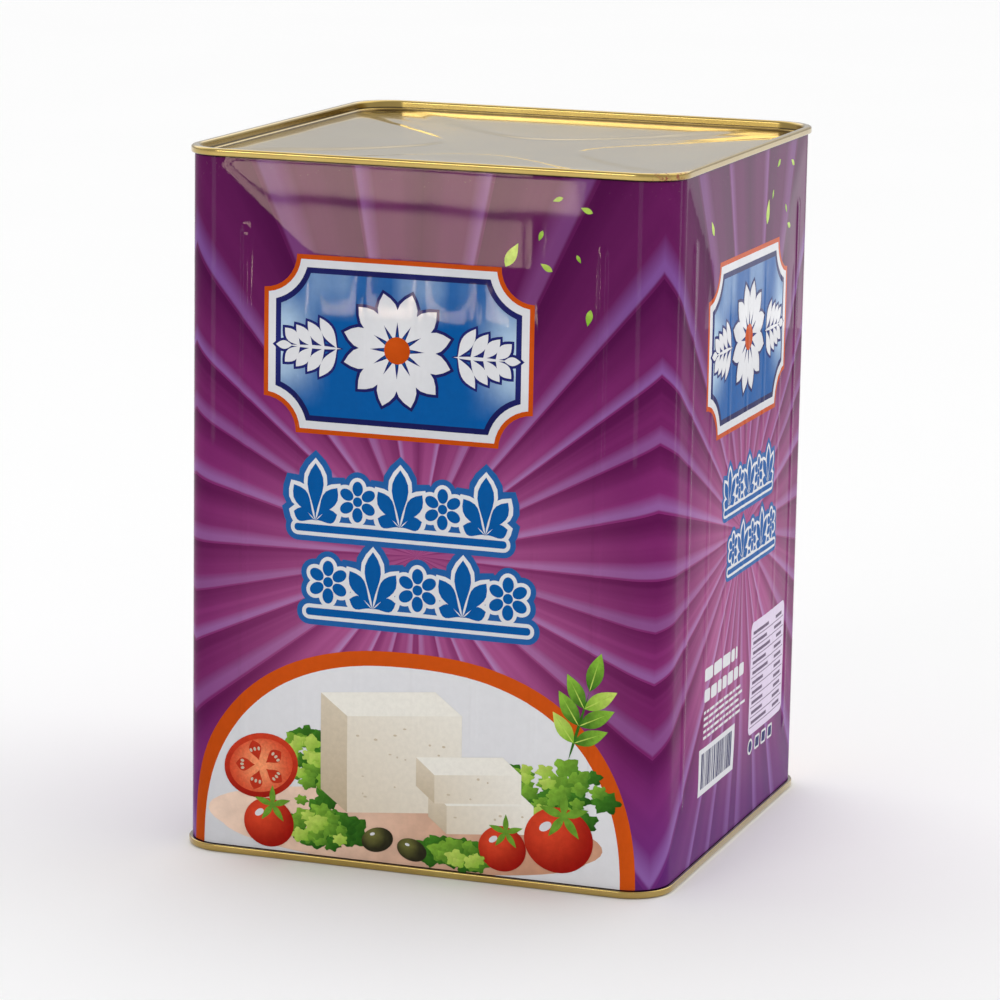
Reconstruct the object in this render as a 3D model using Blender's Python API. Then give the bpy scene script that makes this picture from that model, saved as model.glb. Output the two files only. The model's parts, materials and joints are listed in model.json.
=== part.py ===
"""Square lithographed tin for cheese in brine, shut: a pressed body and two double-seamed ends.

Metres, +Z up. The origin is the middle of the square that the tin stands on.
The front is the -Y face.
"""

import math

import bmesh
import bpy
from mathutils import Matrix, Vector

MM = 0.001

# The tin as a whole
TIN_HEIGHT = 330.0 * MM
SEAM_HALF_WIDTH = 119.0 * MM
SEAM_CORNER_RADIUS = 20.6 * MM
SEAM_HEIGHT = 3.5 * MM

# The body sheet, whose bent corners are concentric with the seams'
WALL_INSET = 1.7 * MM
BODY_HALF_WIDTH = SEAM_HALF_WIDTH - WALL_INSET
BODY_CORNER_RADIUS = SEAM_CORNER_RADIUS - WALL_INSET
WALL_FLAT_HALF = BODY_HALF_WIDTH - BODY_CORNER_RADIUS
LIP_THICKNESS = 0.6 * MM
FIT_GAP = 0.3 * MM

# The pressed panel of each wall: a low frustum, with upright beads from side to side
PANEL_RISE = 1.7 * MM
PANEL_RAMP = 41.0 * MM
BEAD_PITCH = 28.4 * MM
BEADS_PER_SIDE = 3
BEAD_HALF_WIDTH = 2.5 * MM
OUTER_BEAD_RISE = 0.45 * MM
INNER_BEAD_RISE = 0.25 * MM
FLUTE_RISE = 0.3 * MM
BEAD_END_INSET = 32.0 * MM
BEAD_TAPER = 8.0 * MM

# The ends: a seam, a chuck wall, and a sunk panel with four lobes that stand above a cross
CHUCK_WALL_THICKNESS = 0.7 * MM
CROWN_ROUND = 1.2 * MM
HOOK_ROUND = 0.6 * MM
COUNTERSINK_DEPTH = 4.3 * MM
DISH_DEPTH = 1.4 * MM
DISH_REACH = 60.0 * MM
CROSS_DEPTH = 0.9 * MM
LOBE_APEX = 36.0 * MM
LOBE_SPREAD = 30.0 * MM
LOBE_EDGE_WIDTH = 9.0 * MM
SHEET_ALLOWANCE = 1.2 * MM

CORNER_STEPS = 5
END_STRAIGHT_STEPS = 11
PANEL_RINGS = 10


def clear_scene():
    """Remove every object that the file holds."""
    for item in list(bpy.data.objects):
        bpy.data.objects.remove(item, do_unlink=True)


def finish(name, colour, metallic, roughness):
    """Return a Principled material in one colour."""
    material = bpy.data.materials.new(name)
    material.use_nodes = True
    shader = material.node_tree.nodes["Principled BSDF"]
    shader.inputs["Base Color"].default_value = (*colour, 1.0)
    shader.inputs["Metallic"].default_value = metallic
    shader.inputs["Roughness"].default_value = roughness
    return material


def smooth_ramp(value):
    """Ease a value from 0 to 1, and hold it outside that range."""
    value = min(1.0, max(0.0, value))
    return value * value * (3.0 - 2.0 * value)


def wall_stations():
    """Return the places across one wall where its section turns, as distances from its middle."""
    half = [BEAD_HALF_WIDTH]
    for index in range(1, BEADS_PER_SIDE + 1):
        crest = index * BEAD_PITCH
        half += [crest - BEAD_PITCH / 2, crest - BEAD_HALF_WIDTH, crest, crest + BEAD_HALF_WIDTH]
    half.append(WALL_FLAT_HALF)
    return [-u for u in reversed(half)] + [0.0] + half


def even_stations():
    """Return evenly spaced places across one side of an end, as shares of its flat half width."""
    last = END_STRAIGHT_STEPS
    return [2.0 * step / last - 1.0 for step in range(last + 1)]


def rounded_square(half, corner, stations, relief=None):
    """Return a square outline with round corners, from above and anticlockwise.

    The stations are distances from the middle of a side. The relief gives how far the
    outline stands out of the side at a station.
    """
    points = []
    arc_centre = half - corner
    for side in range(4):
        turn = Matrix.Rotation(math.radians(90 * side), 2)
        for station in stations:
            rise = relief(station) if relief else 0.0
            points.append(turn @ Vector((station, -half - rise)))
        for step in range(1, CORNER_STEPS):
            angle = math.radians(90.0) * step / CORNER_STEPS
            offset = corner * Vector((math.sin(angle), -math.cos(angle)))
            points.append(turn @ (Vector((arc_centre, -arc_centre)) + offset))
    return points


def closed_loop(mesh, points, height):
    """Add a closed loop of edges through the points at one height."""
    corners = [mesh.verts.new((*point, height)) for point in points]
    following = corners[1:] + corners[:1]
    return [mesh.edges.new(pair) for pair in zip(corners, following)]


def loop_corners(edges):
    """Return the loop's vertices in the order in which its edges were made."""
    ordered = []
    for edge, following in zip(edges, edges[1:] + edges[:1]):
        shared = set(edge.verts) & set(following.verts)
        ordered.append(shared.pop())
    return ordered[-1:] + ordered[:-1]


def extrude_loop(mesh, edges, points, heights):
    """Extrude a loop of edges, and set the new loop on the points at the heights."""
    corners = loop_corners(edges)
    made = bmesh.ops.extrude_edge_only(mesh, edges=edges)["geom"]
    fresh = {item for item in made if isinstance(item, bmesh.types.BMVert)}
    moved = []
    for corner in corners:
        partner = next(e.other_vert(corner) for e in corner.link_edges if e.other_vert(corner) in fresh)
        moved.append(partner)
    for vertex, point, height in zip(moved, points, heights):
        vertex.co = (*point, height)
    pairs = zip(moved, moved[1:] + moved[:1])
    return [mesh.edges.get(pair) for pair in pairs]


def close_loop(mesh, edges):
    """Fill a flat loop of edges with one face."""
    bmesh.ops.edgeloop_fill(mesh, edges=edges)


def close_to_centre(mesh, edges, height):
    """Fill a loop of edges with a fan whose middle is at the height."""
    made = bmesh.ops.extrude_edge_only(mesh, edges=edges)["geom"]
    fresh = [item for item in made if isinstance(item, bmesh.types.BMVert)]
    bmesh.ops.pointmerge(mesh, verts=fresh, merge_co=(0.0, 0.0, height))


def solid(name, mesh, material):
    """Turn a closed bmesh into an object whose faces point out."""
    bmesh.ops.recalc_face_normals(mesh, faces=mesh.faces)
    data = bpy.data.meshes.new(name)
    mesh.to_mesh(data)
    mesh.free()
    data.materials.append(material)
    data.shade_smooth()
    data.set_sharp_from_angle(angle=math.radians(25.0))
    item = bpy.data.objects.new(name, data)
    bpy.context.collection.objects.link(item)
    return item


def panel_rise(u, z, low, high):
    """Return how far the pressed panel of a wall stands out at a place."""
    margin = min(WALL_FLAT_HALF - abs(u), z - low, high - z)
    return PANEL_RISE * min(1.0, max(0.0, margin / PANEL_RAMP))


def bead_rise(u, z):
    """Return the rise of the beads and of the flutes between them at a place on a wall."""
    inset = min(z, TIN_HEIGHT - z) - BEAD_END_INSET
    along = smooth_ramp(inset / BEAD_TAPER)
    outer = BEADS_PER_SIDE * BEAD_PITCH
    nearest = min(BEADS_PER_SIDE, round(abs(u) / BEAD_PITCH))
    offset = abs(abs(u) - nearest * BEAD_PITCH)
    crest = OUTER_BEAD_RISE if nearest == BEADS_PER_SIDE else INNER_BEAD_RISE
    rise = crest * max(0.0, 1.0 - offset / BEAD_HALF_WIDTH)
    if abs(u) < outer:
        across = min(1.0, 2.0 * offset / BEAD_PITCH)
        rise += FLUTE_RISE * across * (2.0 - across)
    return rise * along


def wall_heights(low, high):
    """Return the heights at which a wall's profile turns."""
    taper_start = BEAD_END_INSET
    taper_end = BEAD_END_INSET + BEAD_TAPER
    lower = [low, low + PANEL_RAMP * 0.3, taper_start, taper_end, low + PANEL_RAMP]
    upper = [high - PANEL_RAMP, TIN_HEIGHT - taper_end, TIN_HEIGHT - taper_start]
    upper += [high - PANEL_RAMP * 0.3, high]
    return lower + upper


def build_body():
    """Build the body: the printed wall, with a shallow pocket for each end, and the filling."""
    stations = wall_stations()
    low = SEAM_HEIGHT + FIT_GAP
    high = TIN_HEIGHT - SEAM_HEIGHT - FIT_GAP
    pocket = COUNTERSINK_DEPTH + DISH_DEPTH + CROSS_DEPTH + SHEET_ALLOWANCE + FIT_GAP
    lip_half = BODY_HALF_WIDTH - LIP_THICKNESS
    lip_corner = BODY_CORNER_RADIUS - LIP_THICKNESS
    lip = rounded_square(lip_half, lip_corner, stations)

    mesh = bmesh.new()
    edges = closed_loop(mesh, lip, pocket)
    close_loop(mesh, edges)
    edges = extrude_loop(mesh, edges, lip, [low] * len(lip))
    for z in wall_heights(low, high):
        def relief(u, z=z):
            return panel_rise(u, z, low, high) + bead_rise(u, z)
        wall = rounded_square(BODY_HALF_WIDTH, BODY_CORNER_RADIUS, stations, relief)
        edges = extrude_loop(mesh, edges, wall, [z] * len(wall))
    edges = extrude_loop(mesh, edges, lip, [high] * len(lip))
    edges = extrude_loop(mesh, edges, lip, [TIN_HEIGHT - pocket] * len(lip))
    close_loop(mesh, edges)
    return solid("tin_body", mesh, finish("printed_tinplate", (0.13, 0.03, 0.13), 0.0, 0.18))


def lobe_margin(along, across):
    """Return the distance inside the two lobes on one axis, or outside them as a negative."""
    level = (along / LOBE_APEX) ** 2 - (across / LOBE_SPREAD) ** 2 - 1.0
    slope = 2.0 * math.hypot(along / LOBE_APEX**2, across / LOBE_SPREAD**2)
    return level / max(slope, 1.0 / LOBE_APEX)


def panel_drop(x, y):
    """Return how far an end's panel lies below the top of the seam."""
    wall_half = BODY_HALF_WIDTH - LIP_THICKNESS - FIT_GAP - CHUCK_WALL_THICKNESS
    from_wall = wall_half - max(abs(x), abs(y))
    dish = DISH_DEPTH * smooth_ramp(from_wall / DISH_REACH)
    inside_lobe = max(lobe_margin(x, y), lobe_margin(y, x))
    lobe = smooth_ramp(0.5 + inside_lobe / LOBE_EDGE_WIDTH)
    edge = smooth_ramp(from_wall / LOBE_EDGE_WIDTH)
    return COUNTERSINK_DEPTH + dish + CROSS_DEPTH * edge * (1.0 - lobe)


def seam_profile():
    """Return the section of an end from the foot of its outside to the foot of its chuck wall.

    Each entry is a half width and a drop below the top of the seam.
    """
    outer = SEAM_HALF_WIDTH
    wall_outer = BODY_HALF_WIDTH - LIP_THICKNESS - FIT_GAP
    wall_inner = wall_outer - CHUCK_WALL_THICKNESS
    return [
        (wall_outer, COUNTERSINK_DEPTH + DISH_DEPTH + CROSS_DEPTH + SHEET_ALLOWANCE),
        (wall_outer, SEAM_HEIGHT),
        (outer - HOOK_ROUND, SEAM_HEIGHT),
        (outer, SEAM_HEIGHT - HOOK_ROUND),
        (outer, CROWN_ROUND),
        (outer - 0.3 * CROWN_ROUND, 0.3 * CROWN_ROUND),
        (outer - CROWN_ROUND, 0.0),
        (wall_inner + CROWN_ROUND, 0.0),
        (wall_inner + 0.3 * CROWN_ROUND, 0.3 * CROWN_ROUND),
        (wall_inner, CROWN_ROUND),
        (wall_inner, COUNTERSINK_DEPTH - HOOK_ROUND),
        (wall_inner - HOOK_ROUND, COUNTERSINK_DEPTH),
    ]


def end_outline(half):
    """Return an end's outline at a half width, with corners that shrink towards the middle."""
    corner = SEAM_CORNER_RADIUS - (SEAM_HALF_WIDTH - half)
    least = half * SEAM_CORNER_RADIUS / SEAM_HALF_WIDTH
    corner = max(corner, least)
    flat = half - corner
    stations = [share * flat for share in even_stations()]
    return rounded_square(half, corner, stations)


def build_end(name, at_top):
    """Build one end: seam, chuck wall and embossed panel. The lower one is the upper one's mirror."""
    mesh = bmesh.new()
    profile = seam_profile()
    first_half, first_drop = profile[0]
    outline = end_outline(first_half)
    edges = closed_loop(mesh, outline, TIN_HEIGHT - first_drop)
    close_loop(mesh, edges)
    for half, drop in profile[1:]:
        outline = end_outline(half)
        edges = extrude_loop(mesh, edges, outline, [TIN_HEIGHT - drop] * len(outline))
    panel_half = profile[-1][0]
    for ring in range(1, PANEL_RINGS):
        outline = end_outline(panel_half * (1.0 - ring / PANEL_RINGS))
        heights = [TIN_HEIGHT - panel_drop(*point) for point in outline]
        edges = extrude_loop(mesh, edges, outline, heights)
    close_to_centre(mesh, edges, TIN_HEIGHT - panel_drop(0.0, 0.0))
    if not at_top:
        flip = Matrix.Translation((0.0, 0.0, TIN_HEIGHT)) @ Matrix.Scale(-1.0, 4, (0.0, 0.0, 1.0))
        bmesh.ops.transform(mesh, matrix=flip, verts=mesh.verts)
    return solid(name, mesh, finish(name + "_gold_lacquer", (0.78, 0.60, 0.26), 1.0, 0.22))


def main():
    """Build the tin."""
    clear_scene()
    build_body()
    build_end("top_end", at_top=True)
    build_end("bottom_end", at_top=False)


main()
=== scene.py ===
"""Looks of a shut square cheese tin: printed walls, gold-lacquered seamed ends and their studio.

The print is a set of thin ink plates that follow the pressed walls. Lengths are in metres, +Z is up
and the front looks towards -Y.
"""

import json
import logging
import math
import random
from dataclasses import dataclass, field
from enum import Enum
from typing import Callable, Sequence

import bmesh
import bpy
from mathutils import Matrix, Vector, noise

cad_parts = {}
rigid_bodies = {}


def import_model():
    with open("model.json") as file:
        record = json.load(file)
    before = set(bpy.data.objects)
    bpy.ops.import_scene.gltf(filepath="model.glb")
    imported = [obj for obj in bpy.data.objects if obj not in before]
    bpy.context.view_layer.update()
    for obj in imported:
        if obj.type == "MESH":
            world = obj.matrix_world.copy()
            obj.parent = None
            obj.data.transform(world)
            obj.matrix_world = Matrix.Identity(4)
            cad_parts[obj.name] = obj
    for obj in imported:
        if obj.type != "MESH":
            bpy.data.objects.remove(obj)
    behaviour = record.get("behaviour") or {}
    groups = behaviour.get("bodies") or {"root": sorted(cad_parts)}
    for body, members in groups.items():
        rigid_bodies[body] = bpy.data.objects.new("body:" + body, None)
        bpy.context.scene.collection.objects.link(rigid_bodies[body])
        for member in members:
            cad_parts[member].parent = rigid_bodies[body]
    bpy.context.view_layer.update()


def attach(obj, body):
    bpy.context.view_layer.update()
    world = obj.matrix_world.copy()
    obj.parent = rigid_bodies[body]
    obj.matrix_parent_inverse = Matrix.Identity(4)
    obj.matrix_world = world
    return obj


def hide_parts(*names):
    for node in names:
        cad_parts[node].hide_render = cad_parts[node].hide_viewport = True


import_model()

BODY = "root"
MM = 0.001
# Edges above this angle stay sharp, and faces within this cosine of the sheet take its normals.
SHARP = math.radians(40.0)
FACES_OUT = 0.7
# The cuts of the walls' meshes are rounded to this many decimals of a metre, so that none doubles.
CUT_DIGITS = 7
# Plates of one layer lie this share of a layer apart, so that no two lie in one plane.
FRIEZE_STEP = 0.03
PLAQUE_STEP = 0.06
log = logging.getLogger("cheese_tin")

Point = tuple[float, float]
Colour = tuple[int, int, int]
Tone = Callable[[float, float], float]
Socket = bpy.types.NodeSocket


class Side(Enum):
    """A wall of the tin, by the quarter turns that bring the front wall to it."""

    FRONT = 0
    RIGHT = 1
    BACK = 2
    LEFT = 3


class Slot(Enum):
    """The record's material slots."""

    PRINT = "printed_tinplate"
    GOLD = "gold_lacquer"


def linear(colour: Colour) -> tuple[float, float, float, float]:
    """Turn a screen colour of 0 to 255 a channel into linear light.

    Args:
        colour: Red, green and blue as a screen shows them.

    Returns:
        The linear colour with an alpha of 1.
    """
    shares = [channel / 255.0 for channel in colour]
    light = [s / 12.92 if s <= 0.04045 else ((s + 0.055) / 1.055) ** 2.4 for s in shares]
    return (light[0], light[1], light[2], 1.0)


def ease(value: float) -> float:
    """Return a smooth step from 0 to 1 of a value that runs from 0 to 1."""
    value = min(1.0, max(0.0, value))
    return value * value * (3.0 - 2.0 * value)


def cuts(start: float, end: float, parts: int) -> list[float]:
    """Return the places that cut a span into equal parts, without its two ends."""
    return [start + (end - start) * step / parts for step in range(1, parts)]


@dataclass(frozen=True)
class TinShape:
    """The form of the pressed walls, and the way from a place on the print to a place in space."""

    height: float = 330.0 * MM
    seam_half: float = 119.0 * MM
    seam_corner: float = 20.6 * MM
    seam_height: float = 3.5 * MM
    wall_inset: float = 1.7 * MM
    gap: float = 0.3 * MM
    panel_rise: float = 1.5 * MM
    panel_ramp: float = 45.0 * MM
    crease: float = 5.0 * MM
    bead_pitch: float = 28.4 * MM
    beads_per_side: int = 3
    bead_half_width: float = 2.9 * MM
    bead_steepness: float = 1.5
    outer_bead_rise: float = 0.42 * MM
    inner_bead_rise: float = 0.2 * MM
    flute_rise: float = 0.25 * MM
    bead_end: float = 32.0 * MM
    bead_taper: float = 7.0 * MM
    flute_end: float = 50.0 * MM
    flute_taper: float = 26.0 * MM
    ripple: float = 0.04 * MM
    ripple_wide: float = 34.0 * MM
    ripple_tall: float = 60.0 * MM
    ripple_margin: float = 8.0 * MM
    bead_cuts: int = 4
    flute_cuts: int = 8
    side_cuts: int = 4
    corner_cuts: int = 9
    ramp_cuts: int = 15
    ramp_cut_reach: float = 1.05
    middle_cuts: int = 14
    edge_cut: float = 0.15 * MM

    @property
    def half(self) -> float:
        """Half the width over two walls at the seams."""
        return self.seam_half - self.wall_inset

    @property
    def corner(self) -> float:
        """Radius of the wall's bent corners."""
        return self.seam_corner - self.wall_inset

    @property
    def flat(self) -> float:
        """Distance from a wall's middle to where its corners start to bend."""
        return self.half - self.corner

    @property
    def reach(self) -> float:
        """Distance along the sheet from a wall's middle to the middle of a corner."""
        return self.flat + self.corner * math.pi / 4

    @property
    def low(self) -> float:
        """Height of the wall's lower edge."""
        return self.seam_height + self.gap

    @property
    def high(self) -> float:
        """Height of the wall's upper edge."""
        return self.height - self.seam_height - self.gap

    def soft_least(self, *values: float) -> float:
        """Return the least of some distances, with the crease between two of them rounded."""
        least = values[0]
        for value in values[1:]:
            overlap = max(0.0, self.crease - abs(least - value)) / self.crease
            least = min(least, value) - overlap * overlap * self.crease / 4
        return least

    def panel(self, u: float, z: float) -> float:
        """Return the rise of the raised panel and its ramps at a place on the print."""
        margin = self.soft_least(self.flat - abs(u), z - self.low, self.high - z, self.panel_ramp)
        return self.panel_rise * max(0.0, margin) / self.panel_ramp

    def beads(self, u: float, z: float) -> float:
        """Return the rise of the upright beads and of the flutes between them."""
        inset = min(z, self.height - z)
        nearest = min(self.beads_per_side, round(abs(u) / self.bead_pitch))
        offset = abs(abs(u) - nearest * self.bead_pitch)
        crest = ease(self.bead_steepness * (1.0 - offset / self.bead_half_width))
        if nearest == self.beads_per_side:
            rise = self.outer_bead_rise * crest * ease((inset - self.bead_end) / self.bead_taper)
        else:
            rise = self.inner_bead_rise * crest * ease((inset - self.flute_end) / self.flute_taper)
        if abs(u) < self.beads_per_side * self.bead_pitch:
            across = min(1.0, 2.0 * offset / self.bead_pitch)
            flute = self.flute_rise * across * (2.0 - across)
            rise += flute * ease((inset - self.flute_end) / self.flute_taper)
        return rise

    def rise(self, u: float, z: float) -> float:
        """Return how far the wall stands out of its flat plane.

        Args:
            u: Distance along the sheet from the wall's middle.
            z: Height above the floor.

        Returns:
            The rise of the pressed panel, its beads and flutes, and the sheet's faint ripple.
        """
        wave = self.ripple * noise.noise(Vector((u / self.ripple_wide, z / self.ripple_tall, 3.0)))
        margin = min(self.flat - abs(u), z - self.low, self.high - z)
        return self.panel(u, z) + self.beads(u, z) + wave * ease(margin / self.ripple_margin)

    def columns(self) -> list[float]:
        """Return the places along the sheet where every mesh on a wall is cut."""
        width = self.bead_half_width
        places = [self.reach - self.edge_cut]
        for bead in range(self.beads_per_side + 1):
            crest = bead * self.bead_pitch
            low, high = crest - width, crest + width
            places += [low, *cuts(low, high, 2 * self.bead_cuts), high]
            if bead < self.beads_per_side:
                places += cuts(high, low + self.bead_pitch, self.flute_cuts)
        last = self.beads_per_side * self.bead_pitch + width
        places += [*cuts(last, self.flat, self.side_cuts), self.flat]
        places += cuts(self.flat, self.reach, self.corner_cuts)
        return sorted({round(side * place, CUT_DIGITS) for place in places for side in (-1.0, 1.0)})

    def levels(self) -> list[float]:
        """Return the heights where every mesh on a wall is cut."""
        middle = self.height / 2
        ramp_end = self.low + self.ramp_cut_reach * self.panel_ramp
        taper_end = self.bead_end + self.bead_taper
        lower = [*cuts(self.low, ramp_end, self.ramp_cuts), ramp_end]
        lower += [self.bead_end, *cuts(self.bead_end, taper_end, self.bead_cuts), taper_end]
        lower += cuts(ramp_end, middle, self.middle_cuts)
        upper = [self.height - level for level in lower]
        return sorted({round(level, CUT_DIGITS) for level in (*lower, middle, *upper)})

    def place(self, side: Side, u: float, z: float, lift: float = 0.0) -> Vector:
        """Return the point of a wall at a place on its print.

        Args:
            side: The wall.
            u: Distance along the sheet from the wall's middle, to the right as seen from outside.
            z: Height above the floor.
            lift: Height above the sheet.

        Returns:
            The point in the tin's frame.
        """
        out = lift + self.rise(u, z)
        bend = max(0.0, abs(u) - self.flat) / self.corner
        radius = self.corner + out
        x = math.copysign(min(abs(u), self.flat) + radius * math.sin(bend), u)
        y = -self.flat - radius * math.cos(bend)
        return Matrix.Rotation(math.radians(90 * side.value), 3, "Z") @ Vector((x, y, z))

    def normal(self, side: Side, u: float, z: float) -> Vector:
        """Return the outward normal of a wall at a place on its print."""
        step = 0.4 * MM
        across = self.place(side, u + step, z) - self.place(side, u - step, z)
        upward = self.place(side, u, z + step) - self.place(side, u, z - step)
        return across.cross(upward).normalized()


SHAPE = TinShape()
# The stretch and height of the varnish's upright marks, from the drawing of the sheet.
UPRIGHT_GRAIN = (1.0, 1.0, 0.07)
DRAWN_MARKS = 8.0
# How much narrower the dark line of painted shade and grime at the foot is than the one at the top.
NARROWER_FOOT_SHADE = 4.0
# Where the window's print starts above the floor, in millimetres as all of the drawing.
PRINT_FOOT = 3.85


class NodeSheet:
    """A short way to lay out the nodes of a material, a world or a group."""

    def __init__(self, tree: bpy.types.NodeTree) -> None:
        """Keep the tree that the nodes go into."""
        self.tree = tree

    def node(self, kind: str, **settings: object) -> bpy.types.Node:
        """Add a node and set its properties."""
        made = self.tree.nodes.new(kind)
        for name, value in settings.items():
            setattr(made, name, value)
        return made

    def put(self, value: object, socket: Socket) -> None:
        """Link an output to an input, or set the input to a number or colour."""
        if isinstance(value, Socket):
            self.tree.links.new(value, socket)
        else:
            socket.default_value = value

    def fill(self, target: bpy.types.Node, values: dict[str | int, object]) -> bpy.types.Node:
        """Put values into a node's inputs, by their names or numbers, and return the node."""
        for key, value in values.items():
            self.put(value, target.inputs[key])
        return target

    def math(self, operation: str, *values: object, clamp: bool = False) -> Socket:
        """Return the result of a math node."""
        made = self.node("ShaderNodeMath", operation=operation, use_clamp=clamp)
        return self.fill(made, dict(enumerate(values))).outputs[0]

    def length(self, across: Socket, upward: Socket) -> Socket:
        """Return the distance from the middle of a flat place."""
        squares = [self.math("MULTIPLY", part, part) for part in (across, upward)]
        return self.math("SQRT", self.math("ADD", *squares))

    def between(self, value: object, low: float, high: float, start: float = 0.0,
                end: float = 1.0) -> Socket:
        """Return a smooth step of a value between two limits."""
        made = self.node("ShaderNodeMapRange", interpolation_type="SMOOTHSTEP")
        return self.fill(made, dict(enumerate((value, low, high, start, end)))).outputs[0]

    def mix(self, share: object, first: Socket | Colour, second: Socket | Colour) -> Socket:
        """Return a mix of two colours, each an output or a screen colour."""
        made = self.node("ShaderNodeMix", data_type="RGBA", blend_type="MIX", clamp_factor=True)
        for number, colour in ((6, first), (7, second)):
            self.put(linear(colour) if isinstance(colour, tuple) else colour, made.inputs[number])
        return self.fill(made, {0: share}).outputs[2]

    def noise(self, vector: Socket, scale: float, detail: float = 2.0, roughness: float = 0.5,
              distortion: float = 0.0) -> Socket:
        """Return the value of a noise texture."""
        return self.fill(self.node("ShaderNodeTexNoise"), {
            "Vector": vector, "Scale": scale, "Detail": detail, "Roughness": roughness,
            "Distortion": distortion}).outputs[0]

    def split(self, vector: Socket) -> bpy.types.NodeOutputs:
        """Return the three parts of a vector."""
        return self.fill(self.node("ShaderNodeSeparateXYZ"), {0: vector}).outputs

    def bump(self, shader: bpy.types.Node, height: Socket, distance: float,
             strength: float) -> None:
        """Make a shader's surface uneven by a height."""
        uneven = self.fill(self.node("ShaderNodeBump"), {
            "Height": height, "Distance": distance, "Strength": strength})
        self.put(uneven.outputs["Normal"], shader.inputs["Normal"])

    def object_place(self) -> Socket:
        """Return the place on the piece, in metres."""
        return self.node("ShaderNodeTexCoord").outputs["Object"]

    def group(self, tree: bpy.types.NodeTree, **values: object) -> bpy.types.NodeOutputs:
        """Add a node group with its inputs set by name, and return its outputs."""
        return self.fill(self.node("ShaderNodeGroup", node_tree=tree), values).outputs


def new_group(name: str, inputs: Sequence[str],
              outputs: Sequence[str]) -> tuple[NodeSheet, bpy.types.NodeOutputs, bpy.types.Node]:
    """Make an empty shader node group of numbers.

    Args:
        name: The group's name.
        inputs: The name of each input.
        outputs: The name of each output.

    Returns:
        The sheet, the group's given values by name, and its output node.
    """
    tree = bpy.data.node_groups.new(name, "ShaderNodeTree")
    for titles, direction in ((inputs, "INPUT"), (outputs, "OUTPUT")):
        for title in titles:
            tree.interface.new_socket(title, in_out=direction, socket_type="NodeSocketFloat")
    sheet = NodeSheet(tree)
    return sheet, sheet.node("NodeGroupInput").outputs, sheet.node("NodeGroupOutput")


def build_varnish_group() -> bpy.types.NodeTree:
    """Build the varnish's roughness and faint unevenness, for every printed finish.

    Returns:
        A group with the outputs Roughness and Height.
    """
    sheet, given, target = new_group("varnish", ("Roughness", "Smears"), ("Roughness", "Height"))
    place = sheet.object_place()
    smear = sheet.noise(place, scale=34.0, detail=4.0, roughness=0.6, distortion=0.4)
    scuffs = sheet.noise(place, scale=210.0, detail=3.0, roughness=0.65)
    scuffs = sheet.between(scuffs, low=0.62, high=0.78)
    added = sheet.math("MULTIPLY", given["Smears"], sheet.math("ADD", smear, scuffs))
    fine = sheet.math("MULTIPLY", sheet.noise(place, scale=900.0), 0.25)
    height = sheet.math("ADD", fine, sheet.noise(place, scale=90.0))
    drawn = sheet.node("ShaderNodeVectorMath", operation="MULTIPLY")
    sheet.fill(drawn, {0: place, 1: UPRIGHT_GRAIN})
    marks = sheet.noise(drawn.outputs[0], scale=150.0, detail=1.0)
    sheet.fill(target, {"Roughness": sheet.math("ADD", given["Roughness"], added),
                        "Height": sheet.math("MULTIPLY_ADD", marks, DRAWN_MARKS, height)})
    return sheet.tree


def build_seam_shade_and_grime_group() -> bpy.types.NodeTree:
    """Build the dark line of painted shade and grime, and the dust and specks that gather, where
    the walls meet the seams.

    Returns:
        A group of three masks: the dark line of painted shade and grime, the dust specks and the
            rust.
    """
    sheet, given, target = new_group("seam_grime", ("Reach",), ("Line", "Specks", "Rust"))
    place = sheet.object_place()
    high = sheet.split(place)[2]
    top_edge = SHAPE.height - SHAPE.seam_height
    from_top, from_foot = (sheet.math("ABSOLUTE", sheet.math("SUBTRACT", high, edge))
                           for edge in (top_edge, SHAPE.seam_height))
    away = sheet.math("MINIMUM", from_top, sheet.math("MULTIPLY", from_foot, NARROWER_FOOT_SHADE))
    uneven = sheet.noise(place, scale=260.0, detail=4.0, roughness=0.7)
    reach = sheet.math("MULTIPLY", given["Reach"], sheet.math("ADD", 0.4, uneven))
    # The dark line is painted shade under the seams where they meet the walls, with grime in it.
    line = sheet.between(sheet.math("DIVIDE", away, reach), low=1.0, high=0.2)
    speck = sheet.between(sheet.noise(place, scale=620.0, roughness=0.7), low=0.66, high=0.74)
    close = sheet.between(away, low=14.0 * MM, high=0.5 * MM)
    corner = Vector((SHAPE.seam_half - 4.0 * MM, 8.0 * MM - SHAPE.seam_half, top_edge))
    gap = sheet.fill(sheet.node("ShaderNodeVectorMath", operation="DISTANCE"),
                     {0: place, 1: corner})
    around = sheet.between(gap.outputs["Value"], low=14.0 * MM, high=3.0 * MM)
    blister = sheet.noise(place, scale=420.0, detail=3.0, roughness=0.6)
    blister = sheet.between(blister, low=0.5, high=0.62)
    sheet.fill(target, {"Line": line, "Specks": sheet.math("MULTIPLY", speck, close),
                        "Rust": sheet.math("MULTIPLY", around, blister)})
    return sheet.tree


VARNISH = build_varnish_group()
SEAM_SHADE_AND_GRIME = build_seam_shade_and_grime_group()


def new_material(name: str) -> tuple[bpy.types.Material, NodeSheet, bpy.types.Node]:
    """Make an empty node material.

    Args:
        name: The material's name.

    Returns:
        The material, its sheet and its Principled shader.
    """
    made = bpy.data.materials.new(name)
    made.use_nodes = True
    sheet = NodeSheet(made.node_tree)
    return made, sheet, made.node_tree.nodes["Principled BSDF"]


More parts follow.
